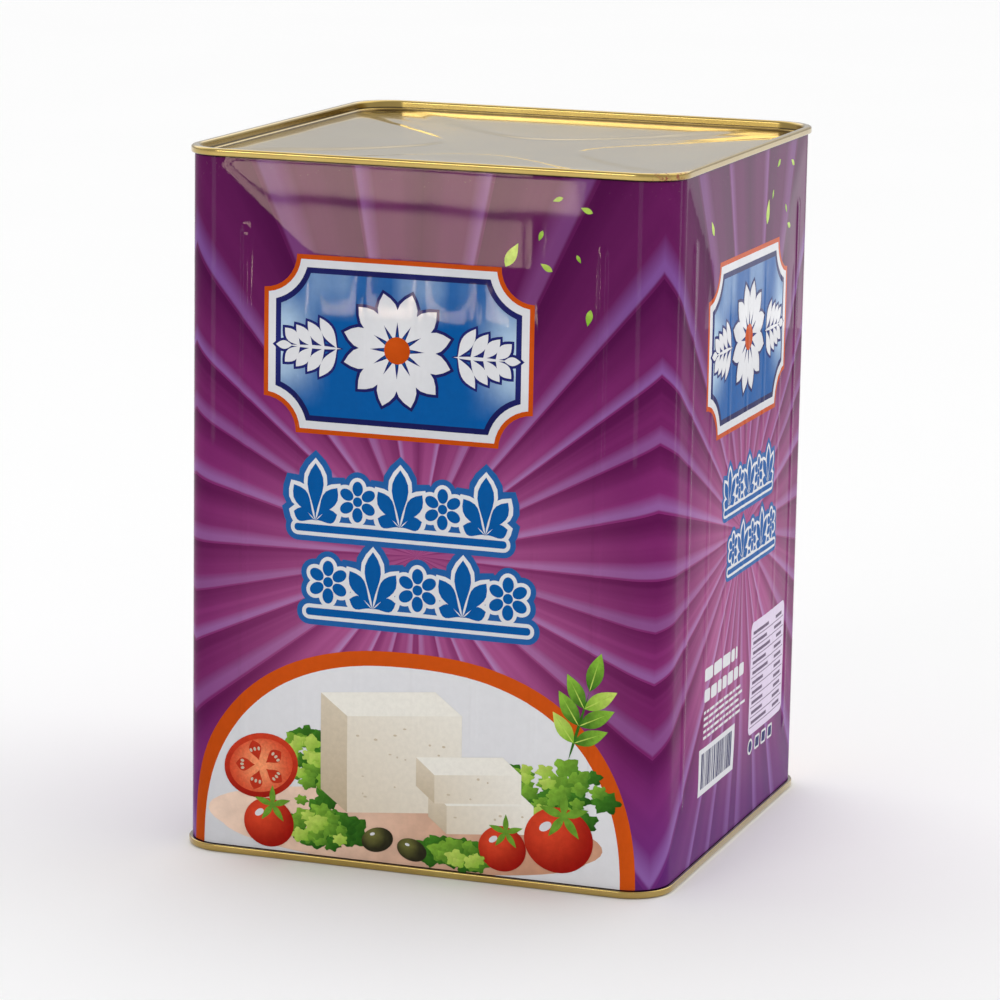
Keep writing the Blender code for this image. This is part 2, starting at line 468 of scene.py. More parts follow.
@dataclass(frozen=True, kw_only=True)
class Varnished:
    """What every printed finish shares: a glossy clear varnish with faint smears."""

    roughness: float = 0.02
    smears: float = 0.02
    bump: float = 0.01 * MM
    bump_strength: float = 0.35
    index: float = 1.08

    def coat(self, sheet: NodeSheet, shader: bpy.types.Node) -> None:
        """Give a shader the varnish's gloss and faint unevenness."""
        film = sheet.group(VARNISH, Roughness=self.roughness, Smears=self.smears)
        sheet.fill(shader, {"Roughness": film["Roughness"], "IOR": self.index})
        sheet.bump(shader, film["Height"], self.bump, self.bump_strength)


@dataclass(frozen=True)
class Ink(Varnished):
    """One printed colour that runs from a light to a dark tone, with a faint screen mottle."""

    name: str
    light: Colour
    dark: Colour
    mottle: float
    grain: float = 260.0
    shade_and_grime_reach: float = 0.8 * MM
    shade_and_grime: Colour = (38, 22, 20)

    def build(self) -> bpy.types.Material:
        """Build the ink. The tone attribute of the plate picks its shade.

        Returns:
            The material.
        """
        made, sheet, shader = new_material(self.name)
        tone = sheet.node("ShaderNodeAttribute", attribute_name="tone").outputs["Fac"]
        cloud = sheet.noise(sheet.object_place(), self.grain, detail=4.0, roughness=0.6)
        shade = sheet.between(cloud, 0.3, 0.7, 1.0 - self.mottle, 1.0 + self.mottle)
        tint = sheet.fill(sheet.node("ShaderNodeHueSaturation"), {
            "Value": shade, "Color": sheet.mix(tone, self.dark, self.light)})
        # Darkens the ink near the seams with the dark line of painted shade and grime.
        line = sheet.group(SEAM_SHADE_AND_GRIME, Reach=self.shade_and_grime_reach)["Line"]
        sheet.put(sheet.mix(line, tint.outputs[0], self.shade_and_grime), shader.inputs["Base Color"])
        self.coat(sheet, shader)
        return made


@dataclass(frozen=True)
class RayPrint(Varnished):
    """The plum ground of the walls, with pale rays that spread from the middle of each wall.

    Each span runs from where its effect starts to where it is full.
    """

    name: str = "ray_print"
    middle: float = 150.0 * MM
    rays: float = 14.0
    sway: float = 0.010
    sways: float = 21.0
    first_draw: float = 4.3
    streaks: float = 60.0
    streak_share: float = 0.16
    hump_span: Point = (-0.10, 0.52)
    hump_least: float = 0.62
    ray_start: float = 0.62
    ray_start_draw: float = 0.12
    ray_swell: float = 0.18
    ray_edge: Point = (0.975, 0.935)
    ray_least: float = 0.5
    glow_drop: float = 25.0 * MM
    glow_span: Point = (126.0 * MM, 38.0 * MM)
    glow_share: float = 0.85
    foot_span: Point = (-70.0 * MM, -150.0 * MM)
    foot_share: float = 0.7
    foot_on_rays: float = 0.8
    crown_span: Point = (40.0 * MM, 130.0 * MM)
    crown_share: float = 0.56
    corner_span: Point = (55.0 * MM, 105.0 * MM)
    core_span: Point = (8.0 * MM, 40.0 * MM)
    deep: Colour = (78, 12, 64)
    plum: Colour = (126, 42, 106)
    deep_glow: Colour = (126, 48, 100)
    glow: Colour = (170, 88, 140)
    dusk: Colour = (94, 44, 118)
    night: Colour = (66, 10, 62)
    lilac: Colour = (140, 92, 152)
    lilac_glow: Colour = (172, 124, 174)
    lilac_foot: Colour = (126, 88, 158)
    lilac_crown: Colour = (118, 56, 112)
    lilac_corner: Colour = (102, 62, 136)
    # The dark line at the seams that these set is painted shade with grime; the dust specks are
    # real dust.
    shade_and_grime_reach: float = 1.1 * MM
    shade_and_grime: Colour = (30, 12, 18)
    dust_share: float = 0.35
    dust: Colour = (150, 120, 120)

    def build(self) -> bpy.types.Material:
        """Build the rays from the wall's own map of the print.

        Returns:
            The material.
        """
        made, sheet, shader = new_material(self.name)
        chart = sheet.split(sheet.node("ShaderNodeUVMap", uv_map="print").outputs[0])
        across = sheet.math("MULTIPLY_ADD", chart[0], 2 * SHAPE.reach, -SHAPE.reach)
        across = sheet.math("ABSOLUTE", across)
        upward = sheet.math("MULTIPLY_ADD", chart[1], SHAPE.height, -self.middle)
        turn = sheet.math("DIVIDE", sheet.math("ARCTAN2", across, upward), math.pi)
        wave = sheet.math("SINE", sheet.math("MULTIPLY", turn, self.sways))
        bent = sheet.math("MULTIPLY_ADD", wave, self.sway, turn)
        phase = sheet.math("MULTIPLY", bent, self.rays)
        inside = sheet.math("FRACT", phase)
        draw = sheet.node("ShaderNodeTexWhiteNoise", noise_dimensions="1D")
        sheet.put(sheet.math("ADD", sheet.math("FLOOR", phase), self.first_draw), draw.inputs["W"])
        chance = draw.outputs["Value"]
        lower = sheet.math("ADD", upward, self.glow_drop)
        glow = sheet.between(sheet.length(across, lower), *self.glow_span)
        foot = sheet.between(upward, *self.foot_span, 0.0, self.foot_share)
        crown = sheet.between(upward, *self.crown_span, 0.0, self.crown_share)
        ground = self.ground(sheet, bent, inside, chance, glow)
        ground = sheet.mix(crown, sheet.mix(foot, ground, self.dusk), self.night)
        bright = sheet.mix(glow, self.lilac, self.lilac_glow)
        bright = sheet.mix(sheet.math("MULTIPLY", foot, self.foot_on_rays), bright, self.lilac_foot)
        corner = sheet.between(across, *self.corner_span)
        bright = sheet.mix(crown, bright, sheet.mix(corner, self.lilac_crown, self.lilac_corner))
        core = sheet.between(sheet.length(across, upward), *self.core_span)
        ray = sheet.math("MULTIPLY", self.ray(sheet, inside, chance), core)
        # The seams' dark line mixed in here is painted shade with grime.
        shade_and_grime_masks = sheet.group(SEAM_SHADE_AND_GRIME, Reach=self.shade_and_grime_reach)
        colour = sheet.mix(shade_and_grime_masks["Line"], sheet.mix(ray, ground, bright), self.shade_and_grime)
        dust = sheet.math("MULTIPLY", shade_and_grime_masks["Specks"], self.dust_share)
        colour = sheet.mix(dust, colour, self.dust)
        sheet.put(colour, shader.inputs["Base Color"])
        self.coat(sheet, shader)
        return made

    def ground(self, sheet: NodeSheet, turn: Socket, inside: Socket, chance: Socket,
               glow: Socket) -> Socket:
        """Return the colour between two rays: a soft plum hump that falls to the deep tone."""
        streak = sheet.fill(sheet.node("ShaderNodeTexNoise", noise_dimensions="1D"), {
            "W": sheet.math("MULTIPLY", turn, self.streaks), "Scale": 1.0, "Detail": 2.0})
        soft = sheet.between(streak.outputs[0], low=0.30, high=0.70)
        rise = sheet.between(inside, *self.hump_span)
        strength = sheet.between(chance, 0.0, 1.0, self.hump_least, 1.0)
        hump = sheet.math("MULTIPLY", rise, strength)
        hump = sheet.math("MULTIPLY", hump, 1.0 - self.streak_share)
        level = sheet.math("MULTIPLY_ADD", soft, self.streak_share, hump, clamp=True)
        plum = sheet.mix(level, self.deep, self.plum)
        inner = sheet.mix(level, self.deep_glow, self.glow)
        return sheet.mix(sheet.math("MULTIPLY", glow, self.glow_share), plum, inner)

    def ray(self, sheet: NodeSheet, inside: Socket, chance: Socket) -> Socket:
        """Return the mask of a pale ray: it swells softly, and ends at one crisp edge."""
        start = sheet.math("MULTIPLY_ADD", chance, self.ray_start_draw, self.ray_start)
        past = sheet.math("SUBTRACT", inside, start)
        swell = sheet.math("DIVIDE", past, self.ray_swell, clamp=True)
        crisp = sheet.between(inside, *self.ray_edge)
        strength = sheet.between(chance, 0.0, 1.0, self.ray_least, 1.0)
        return sheet.math("MULTIPLY", sheet.math("MULTIPLY", swell, crisp), strength)


@dataclass(frozen=True)
class GoldLacquer:
    """Bright tinplate under a clear gold lacquer, with faint smears, a dark line of painted shade
    and grime at the seams, and a little rust.
    """

    name: str = "gold_lacquer"
    gold: Colour = (192, 166, 92)
    amber: Colour = (178, 150, 78)
    shade_and_grime: Colour = (60, 40, 16)
    rust: Colour = (150, 74, 26)
    roughness: float = 0.13
    shade_and_grime_reach: float = 0.6 * MM
    shade_and_grime_share: float = 0.85
    smear_roughness: float = 0.08
    rust_roughness: float = 0.4
    rust_dulls: float = 0.8
    rust_height: float = 2.0

    def build(self) -> bpy.types.Material:
        """Build the lacquer.

        Returns:
            The material.
        """
        made, sheet, shader = new_material(self.name)
        place = sheet.object_place()
        patches = sheet.noise(place, scale=16.0, detail=3.0, roughness=0.6)
        patches = sheet.between(patches, low=0.35, high=0.7)
        shade_and_grime_masks = sheet.group(SEAM_SHADE_AND_GRIME, Reach=self.shade_and_grime_reach)
        rust = shade_and_grime_masks["Rust"]
        # The dark line on the gold at the seams is painted shade with grime.
        line = sheet.math("MULTIPLY", shade_and_grime_masks["Line"], self.shade_and_grime_share)
        colour = sheet.mix(line, sheet.mix(patches, self.amber, self.gold), self.shade_and_grime)
        smear = sheet.noise(place, scale=60.0, detail=4.0, roughness=0.65)
        rough = sheet.math("MULTIPLY_ADD", smear, self.smear_roughness, self.roughness)
        dulled = sheet.math("MULTIPLY", rust, self.rust_dulls)
        sheet.fill(shader, {
            "Base Color": sheet.mix(rust, colour, self.rust),
            "Metallic": sheet.math("SUBTRACT", 1.0, dulled),
            "Roughness": sheet.math("MULTIPLY_ADD", rust, self.rust_roughness, rough),
            "Coat Weight": 0.8, "Coat Roughness": 0.06, "Coat IOR": 1.45})
        fine = sheet.noise(place, scale=140.0)
        height = sheet.math("MULTIPLY_ADD", rust, self.rust_height, fine)
        sheet.bump(shader, height, distance=0.02 * MM, strength=0.2)
        return made


class Colours(Enum):
    """The inks of the print."""

    ORANGE = Ink("orange_ink", (198, 80, 20), (184, 71, 15), 0.03)
    WHITE = Ink("white_ink", (219, 219, 222), (205, 206, 210), 0.015)
    NAVY = Ink("navy_ink", (36, 40, 108), (26, 28, 82), 0.05)
    BLUE = Ink("blue_ink", (190, 214, 232), (10, 84, 152), 0.04)
    CREAM = Ink("cream_ink", (234, 231, 222), (214, 202, 182), 0.03, 420.0)
    CREAM_SHADE = Ink("cream_shade_ink", (212, 200, 180), (180, 162, 134), 0.04, 420.0)
    BOARD = Ink("board_ink", (232, 204, 184), (196, 146, 118), 0.08, 120.0)
    RED = Ink("red_ink", (212, 70, 42), (146, 20, 16), 0.08)
    FLESH = Ink("flesh_ink", (240, 150, 104), (206, 74, 46), 0.12, 700.0)
    LEAF = Ink("leaf_ink", (138, 184, 62), (40, 98, 28), 0.16, 340.0)
    LEAF_DEEP = Ink("deep_leaf_ink", (74, 134, 40), (18, 62, 18), 0.18, 340.0)
    LEAF_PALE = Ink("pale_leaf_ink", (196, 214, 104), (116, 168, 44), 0.12, 340.0)
    OLIVE = Ink("olive_ink", (112, 112, 60), (44, 42, 30), 0.10)
    LILAC = Ink("panel_ink", (226, 214, 232), (204, 188, 214), 0.02)
    GREY = Ink("rule_ink", (120, 104, 128), (84, 66, 92), 0.04)


def even_tone(level: float) -> Tone:
    """Return a tone that is the same everywhere."""
    return lambda u, z: level


@dataclass
class Patch:
    """One flat field of colour of the print, as its outline in place on a wall.

    Rings run around it, the outermost first, each as its outer outline and its colour. Their
    outlines and the patch's own have the same number of points.
    """

    outline: Sequence[Point]
    colour: Colours
    layer: float = 1.0
    tone: Tone = even_tone(0.5)
    rings: Sequence[tuple[Sequence[Point], Colours]] = ()


@dataclass
class PrintPiece:
    """A set of patches, joined as one piece of thin ink plates that follow a wall."""

    name: str
    patches: list[Patch] = field(default_factory=list)
    ink: float = 0.04 * MM

    def add(self, outline: Sequence[Point], colour: Colours, layer: float = 1.0,
            tone: Tone = even_tone(0.5),
            rings: Sequence[tuple[Sequence[Point], Colours]] = ()) -> None:
        """Add one patch, its outlines in millimetres."""
        around = [(scaled(outer), ink) for outer, ink in rings]
        self.patches.append(Patch(scaled(outline), colour, layer, tone, around))

    def palette(self) -> list[Colours]:
        """Return the colours that the patches use, in order of use."""
        used: list[Colours] = []
        for patch in self.patches:
            for colour in (*(ink for _, ink in patch.rings), patch.colour):
                if colour not in used:
                    used.append(colour)
        return used

    def build(self, inks: dict[Colours, bpy.types.Material], *sides: Side) -> None:
        """Build the piece once flat, and lay a copy of it on each wall.

        Args:
            inks: The material of each colour.
            sides: The walls that carry it.
        """
        used = self.palette()
        mesh = bmesh.new()
        mesh.verts.layers.float.new("tone")
        for patch in self.patches:
            plate = self.plate(patch, used)
            mesh.from_mesh(plate)
            bpy.data.meshes.remove(plate)
        flat = to_data(mesh, self.name)
        for colour in used:
            flat.materials.append(inks[colour])
        for side in sides:
            data = flat.copy()
            data.name = f"{side.name.lower()}_{self.name}"
            lay_on_wall(data, side, self.ink)
            finish_piece(data, Slot.PRINT)
        bpy.data.meshes.remove(flat)

    def plate(self, patch: Patch, used: list[Colours]) -> bpy.types.Mesh:
        """Make one patch as a closed flat plate.

        Its X is the place along the wall, its Y the height and its Z the layer.

        Args:
            patch: The patch.
            used: The piece's colours, in the order of its material slots.

        Returns:
            The plate.
        """
        mesh = bmesh.new()
        outlines = (*(outer for outer, _ in patch.rings), patch.outline)
        loops = [outline_loop(mesh, outline) for outline in outlines]
        for (_, colour), outer, inner in zip(patch.rings, loops, loops[1:]):
            for face in bmesh.ops.bridge_loops(mesh, edges=[*outer, *inner])["faces"]:
                face.material_index = used.index(colour)
        centre = bmesh.ops.edgeloop_fill(mesh, edges=loops[-1],
                                         mat_nr=used.index(patch.colour))["faces"]
        bmesh.ops.recalc_face_normals(mesh, faces=mesh.faces)
        if centre[0].normal.z < 0.0:
            bmesh.ops.reverse_faces(mesh, faces=mesh.faces)
        cut_for_wall(mesh)
        close_plate(mesh, 1.0)
        tone = mesh.verts.layers.float.new("tone")
        for vertex in mesh.verts:
            vertex.co.z += patch.layer - 1.0
            vertex[tone] = patch.tone(vertex.co.x / MM, vertex.co.y / MM)
        return to_data(mesh, "plate")


def to_data(mesh: bmesh.types.BMesh, name: str) -> bpy.types.Mesh:
    """Turn a working mesh into mesh data, and free it."""
    data = bpy.data.meshes.new(name)
    mesh.to_mesh(data)
    mesh.free()
    return data


def close_plate(mesh: bmesh.types.BMesh, level: float) -> None:
    """Extrude a flat mesh to a level, and turn the closed plate's faces outward."""
    for item in bmesh.ops.extrude_face_region(mesh, geom=list(mesh.faces))["geom"]:
        if isinstance(item, bmesh.types.BMVert):
            item.co.z = level
    bmesh.ops.recalc_face_normals(mesh, faces=mesh.faces)


def outline_loop(mesh: bmesh.types.BMesh, outline: Sequence[Point]) -> list[bmesh.types.BMEdge]:
    """Add a closed flat outline to a mesh, and return its edges in order."""
    corners = [mesh.verts.new((u, z, 0.0)) for u, z in outline]
    return [mesh.edges.new(pair) for pair in zip(corners, corners[1:] + corners[:1])]


def cut_for_wall(mesh: bmesh.types.BMesh) -> None:
    """Cut a flat mesh along the walls' own columns and levels, so that it bends as they do."""
    for axis, places in ((1, SHAPE.levels()), (0, SHAPE.columns())):
        spread = [vertex.co[axis] for vertex in mesh.verts]
        direction = Vector((1.0, 0.0, 0.0)) if axis == 0 else Vector((0.0, 1.0, 0.0))
        for place in places:
            if min(spread) < place < max(spread):
                bmesh.ops.bisect_plane(mesh, geom=[*mesh.verts, *mesh.edges, *mesh.faces],
                                       dist=1e-6,
                                       plane_co=direction * place, plane_no=direction)


def lay_on_wall(data: bpy.types.Mesh, side: Side, layer: float) -> None:
    """Bend a flat mesh onto a wall, and shade it as smoothly as the wall itself.

    Args:
        data: The mesh: X along the wall, Y the height, Z the number of layers above the sheet.
        side: The wall.
        layer: The thickness of a layer.
    """
    normals = []
    for vertex in data.vertices:
        u, z, level = vertex.co
        normals.append(SHAPE.normal(side, u, z))
        vertex.co = SHAPE.place(side, u, z, level * layer)
    data.shade_smooth()
    chosen: list[Vector] = []
    for face in data.polygons:
        facing = face.normal.dot(normals[face.vertices[0]])
        for corner in face.vertices:
            along = normals[corner] if facing > 0.0 else -normals[corner]
            chosen.append(along if abs(facing) > FACES_OUT else face.normal.copy())
    data.set_sharp_from_angle(angle=SHARP)
    data.normals_split_custom_set(chosen)


def finish_piece(data: bpy.types.Mesh, slot: Slot, *nodes: str) -> None:
    """Put a finished mesh in the scene as a piece of the tin, under the mesh's own name.

    Args:
        data: The mesh, in place.
        slot: The material slot that it would take its finish from; it is not used.
        nodes: The CAD nodes that it stands for.
    """
    piece = bpy.data.objects.new(data.name, data)
    bpy.context.scene.collection.objects.link(piece)
    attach(piece, BODY)
    if nodes:
        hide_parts(*nodes)
    log.info("%s: %d faces", piece.name, len(data.polygons))


@dataclass
class WallSheet:
    """One printed wall, from the middle of one corner to the middle of the next."""

    side: Side
    thickness: float = 0.5 * MM

    def build(self, material: bpy.types.Material) -> None:
        """Build the wall as a thin closed sheet with its own map of the print."""
        mesh = bmesh.new()
        corners = box(-SHAPE.reach, SHAPE.low, SHAPE.reach, SHAPE.high)
        mesh.faces.new([mesh.verts.new((u, z, 0.0)) for u, z in corners])
        cut_for_wall(mesh)
        chart = mesh.loops.layers.uv.new("print")
        for face in mesh.faces:
            for loop in face.loops:
                loop[chart].uv = (loop.vert.co.x / (2 * SHAPE.reach) + 0.5,
                                  loop.vert.co.y / SHAPE.height)
        close_plate(mesh, -1.0)
        data = to_data(mesh, self.side.name.lower() + "_wall")
        data.materials.append(material)
        lay_on_wall(data, self.side, self.thickness)
        finish_piece(data, Slot.PRINT, "tin_body")


@dataclass
class SeamedEnd:
    """A stamped end: a rolled seam, a chuck wall and a sunk panel with four raised lobes."""

    at_top: bool
    lip: float = 0.6 * MM
    chuck_wall: float = 0.7 * MM
    crown: float = 1.2 * MM
    hook: float = 0.6 * MM
    countersink: float = 4.3 * MM
    dish: float = 1.4 * MM
    dish_reach: float = 60.0 * MM
    cross: float = 0.5 * MM
    lobe_apex: float = 36.0 * MM
    lobe_spread: float = 30.0 * MM
    lobe_edge: float = 3.6 * MM
    sheet: float = 1.2 * MM
    flat_edge: float = 9.0 * MM
    ripple: float = 0.10 * MM
    ripple_size: float = 45.0 * MM
    corner_steps: int = 14
    straight_steps: int = 30
    rings: int = 56
    arc_steps: int = 5

    @property
    def wall_outer(self) -> float:
        """Half width over the chuck wall's outside."""
        return SHAPE.half - self.lip - SHAPE.gap

    @property
    def wall_inner(self) -> float:
        """Half width between the chuck wall's insides."""
        return self.wall_outer - self.chuck_wall

    def lobe_margin(self, along: float, across: float) -> float:
        """Return how far a place lies inside the lobes on one axis, or outside as a negative."""
        level = (along / self.lobe_apex) ** 2 - (across / self.lobe_spread) ** 2 - 1.0
        slope = 2.0 * math.hypot(along / self.lobe_apex**2, across / self.lobe_spread**2)
        return level / max(slope, 1.0 / self.lobe_apex)

    def drop(self, x: float, y: float) -> float:
        """Return how far the panel lies below the top of the seam."""
        from_wall = self.wall_inner - max(abs(x), abs(y))
        dish = self.dish * ease(from_wall / self.dish_reach)
        inside = max(self.lobe_margin(x, y), self.lobe_margin(y, x))
        lobe = ease(0.5 + inside / self.lobe_edge)
        edge = ease(from_wall / self.flat_edge)
        wave = self.ripple * noise.noise(Vector((x / self.ripple_size, y / self.ripple_size, 7.0)))
        return self.countersink + dish + edge * (self.cross * (1.0 - lobe) + wave)

    def arc(self, centre: Point, radius: float, start: float, end: float) -> list[Point]:
        """Return points of a round in the seam's section, between two angles in degrees."""
        angles = [math.radians(start + (end - start) * step / self.arc_steps)
                  for step in range(self.arc_steps + 1)]
        return [polar(centre, angle, radius, -radius) for angle in angles]

    def profile(self) -> list[Point]:
        """Return the section from the foot of the outside to the foot of the chuck wall.

        Returns:
            Pairs of a half width and a drop below the top of the seam.
        """
        outer = SHAPE.seam_half
        inner = self.wall_inner
        foot = self.countersink + self.dish + self.cross + self.sheet
        points = [(self.wall_outer, foot), (self.wall_outer, SHAPE.seam_height)]
        hook_centre = (outer - self.hook, SHAPE.seam_height - self.hook)
        points += self.arc(hook_centre, self.hook, -90.0, 0.0)
        points += self.arc((outer - self.crown, self.crown), self.crown, 0.0, 90.0)
        points += self.arc((inner + self.crown, self.crown), self.crown, 90.0, 180.0)
        points += self.arc((inner - self.hook, self.countersink - self.hook), self.hook, 0.0, -90.0)
        return points

    def outline(self, half: float) -> list[Point]:
        """Return the end's outline at a half width, anticlockwise from above."""
        corner = max(SHAPE.seam_corner - (SHAPE.seam_half - half),
                     half * SHAPE.seam_corner / SHAPE.seam_half)
        flat = half - corner
        points = []
        for side in range(4):
            turn = Matrix.Rotation(math.radians(90 * side), 2)
            for step in range(self.straight_steps + 1):
                station = flat * (2.0 * step / self.straight_steps - 1.0)
                points.append(tuple(turn @ Vector((station, -half))))
            for step in range(1, self.corner_steps):
                angle = math.radians(90.0) * step / self.corner_steps
                bend = Vector((math.sin(angle), -math.cos(angle)))
                points.append(tuple(turn @ (Vector((flat, -flat)) + corner * bend)))
        return points

    def grow(self, mesh: bmesh.types.BMesh, corners: list, points: Sequence[Point],
             drops: Sequence[float]) -> list:
        """Extrude a loop of edges onto new points.

        Args:
            mesh: The end's mesh.
            corners: The loop's vertices in order.
            points: The new loop's places.
            drops: How far each lies below the seam's top.

        Returns:
            The new loop's vertices in order.
        """
        following = corners[1:] + corners[:1]
        edges = [mesh.edges.get(pair) for pair in zip(corners, following)]
        made = bmesh.ops.extrude_edge_only(mesh, edges=edges)["geom"]
        fresh = {item for item in made if isinstance(item, bmesh.types.BMVert)}
        grown = []
        for corner, point, drop in zip(corners, points, drops):
            beside = (edge.other_vert(corner) for edge in corner.link_edges)
            partner = next(vertex for vertex in beside if vertex in fresh)
            partner.co = (*point, SHAPE.height - drop)
            grown.append(partner)
        return grown

    def build(self, material: bpy.types.Material) -> None:
        """Build the end in its lacquer."""
        name = "top_end" if self.at_top else "bottom_end"
        mesh = bmesh.new()
        profile = self.profile()
        half, drop = profile[0]
        corners = [mesh.verts.new((*point, SHAPE.height - drop)) for point in self.outline(half)]
        for pair in zip(corners, corners[1:] + corners[:1]):
            mesh.edges.new(pair)
        bmesh.ops.edgeloop_fill(mesh, edges=list(mesh.edges))
        for half, drop in profile[1:]:
            outline = self.outline(half)
            corners = self.grow(mesh, corners, outline, [drop] * len(outline))
        panel_half = profile[-1][0]
        for ring in range(1, self.rings):
            outline = self.outline(panel_half * (1.0 - ring / self.rings))
            corners = self.grow(mesh, corners, outline, [self.drop(*point) for point in outline])
        low = self.drop(0.0, 0.0)
        middle = self.grow(mesh, corners, [(0.0, 0.0)] * len(corners), [low] * len(corners))
        bmesh.ops.pointmerge(mesh, verts=middle, merge_co=(0.0, 0.0, SHAPE.height - low))
        if not self.at_top:
            mirror = Matrix.Scale(-1.0, 4, (0.0, 0.0, 1.0))
            flip = Matrix.Translation((0.0, 0.0, SHAPE.height)) @ mirror
            bmesh.ops.transform(mesh, matrix=flip, verts=mesh.verts)
        bmesh.ops.recalc_face_normals(mesh, faces=mesh.faces)
        data = to_data(mesh, name + "_stamping")
        data.materials.append(material)
        data.shade_smooth()
        data.set_sharp_from_angle(angle=SHARP)
        finish_piece(data, Slot.GOLD, name)


def scaled(points: Sequence[Point]) -> list[Point]:
    """Turn points in millimetres into metres."""
    return [(x * MM, y * MM) for x, y in points]


def polar(centre: Point, angle: float, wide: float, tall: float | None = None) -> Point:
    """Return the point of a round or an ellipse at an angle in radians from its right end."""
    return (centre[0] + wide * math.cos(angle),
            centre[1] + (wide if tall is None else tall) * math.sin(angle))


def set_at(points: Sequence[Point], place: Point, turn: float) -> list[Point]:
    """Turn points about the origin by an angle in degrees, and move them to a place."""
    cosine, sine = math.cos(math.radians(turn)), math.sin(math.radians(turn))
    return [(place[0] + x * cosine - y * sine, place[1] + x * sine + y * cosine) for x, y in points]


def ellipse(centre: Point, wide: float, tall: float, steps: int = 48,
            turn: float = 0.0) -> list[Point]:
    """Return the outline of an ellipse with the given half sizes, turned by an angle in degrees."""
    angles = [2.0 * math.pi * step / steps for step in range(steps)]
    return set_at([polar((0.0, 0.0), angle, wide, tall) for angle in angles], centre, turn)


def box(left: float, low: float, right: float, high: float) -> list[Point]:
    """Return the outline of an upright rectangle."""
    return [(left, low), (right, low), (right, high), (left, high)]


def box_arc(centre: Point, wide: float, tall: float, low: float, steps: int = 48) -> list[Point]:
    """Return the outline of an ellipse that is cut off at a height, as a board at an edge is."""
    drop = math.asin(max(-1.0, (low - centre[1]) / tall))
    angles = [drop + (math.pi - 2 * drop) * step / steps for step in range(steps + 1)]
    return [polar(centre, angle, wide, tall) for angle in angles]


def rounded_box(left: float, low: float, right: float, high: float, radius: float,
                steps: int = 8) -> list[Point]:
    """Return the outline of a rectangle whose corners are rounded."""
    points = []
    for index, (x, y) in enumerate([(right - radius, high - radius), (left + radius, high - radius),
                                    (left + radius, low + radius), (right - radius, low + radius)]):
        points += [polar((x, y), math.radians(90.0 * index + 90.0 * step / steps), radius)
                   for step in range(steps + 1)]
    return points


def leaf(root: Point, length: float, width: float, turn: float, widest: float = 0.42,
         steps: int = 8) -> list[Point]:
    """Return the outline of a pointed leaf.

    Args:
        root: Where its stalk is.
        length: From root to tip.
        width: Across its widest place.
        turn: Direction of its tip in degrees, 0 to the right and 90 upwards.
        widest: Where its widest place is, as a share of its length.
        steps: Points along each edge.

    Returns:
        The outline.
    """
    power = math.log(0.5) / math.log(widest)
    shares = cuts(0.0, 1.0, steps)
    edge = [(share * length, math.sin(math.pi * share**power) * width / 2) for share in shares]
    flat = [(0.0, 0.0), *((along, -bulge) for along, bulge in edge), (length, 0.0), *reversed(edge)]
    return set_at(flat, root, turn)


def ruffle(centre: Point, radius: float, waves: int, depth: float, phase: float, squash: float,
           steps: int) -> list[Point]:
    """Return the outline of a round leaf with a wavy edge."""
    points = []
    for step in range(steps):
        angle = 2.0 * math.pi * step / steps
        minor = 0.4 * depth * math.sin(2.3 * waves * angle)
        swell = 1.0 + depth * math.sin(waves * angle + phase) + minor
        points.append(polar(centre, angle, radius * swell, radius * squash * swell))
    return points


def slope_tone(low: Point, high: Point) -> Tone:
    """Return a tone that runs from 0 at one place to 1 at another."""
    run = (high[0] - low[0], high[1] - low[1])
    length = run[0] ** 2 + run[1] ** 2

    def tone(u: float, z: float) -> float:
        """Return the tone at a place."""
        share = ((u - low[0]) * run[0] + (z - low[1]) * run[1]) / length
        return min(1.0, max(0.0, share))

    return tone


def round_tone(centre: Point, radius: float) -> Tone:
    """Return a tone of 1 at a centre that falls to 0 at a radius."""

    def tone(u: float, z: float) -> float:
        """Return the tone at a place."""
        return 1.0 - ease(math.hypot(u - centre[0], z - centre[1]) / radius)

    return tone


def grown_leaf(root: Point, length: float, width: float, turn: float, grow: float,
               widest: float = 0.42) -> list[Point]:
    """Return the outline of a leaf that is grown on all sides by a margin."""
    start = polar(root, math.radians(turn), -grow)
    return leaf(start, length + 2.4 * grow, width + 2.0 * grow, turn, widest)


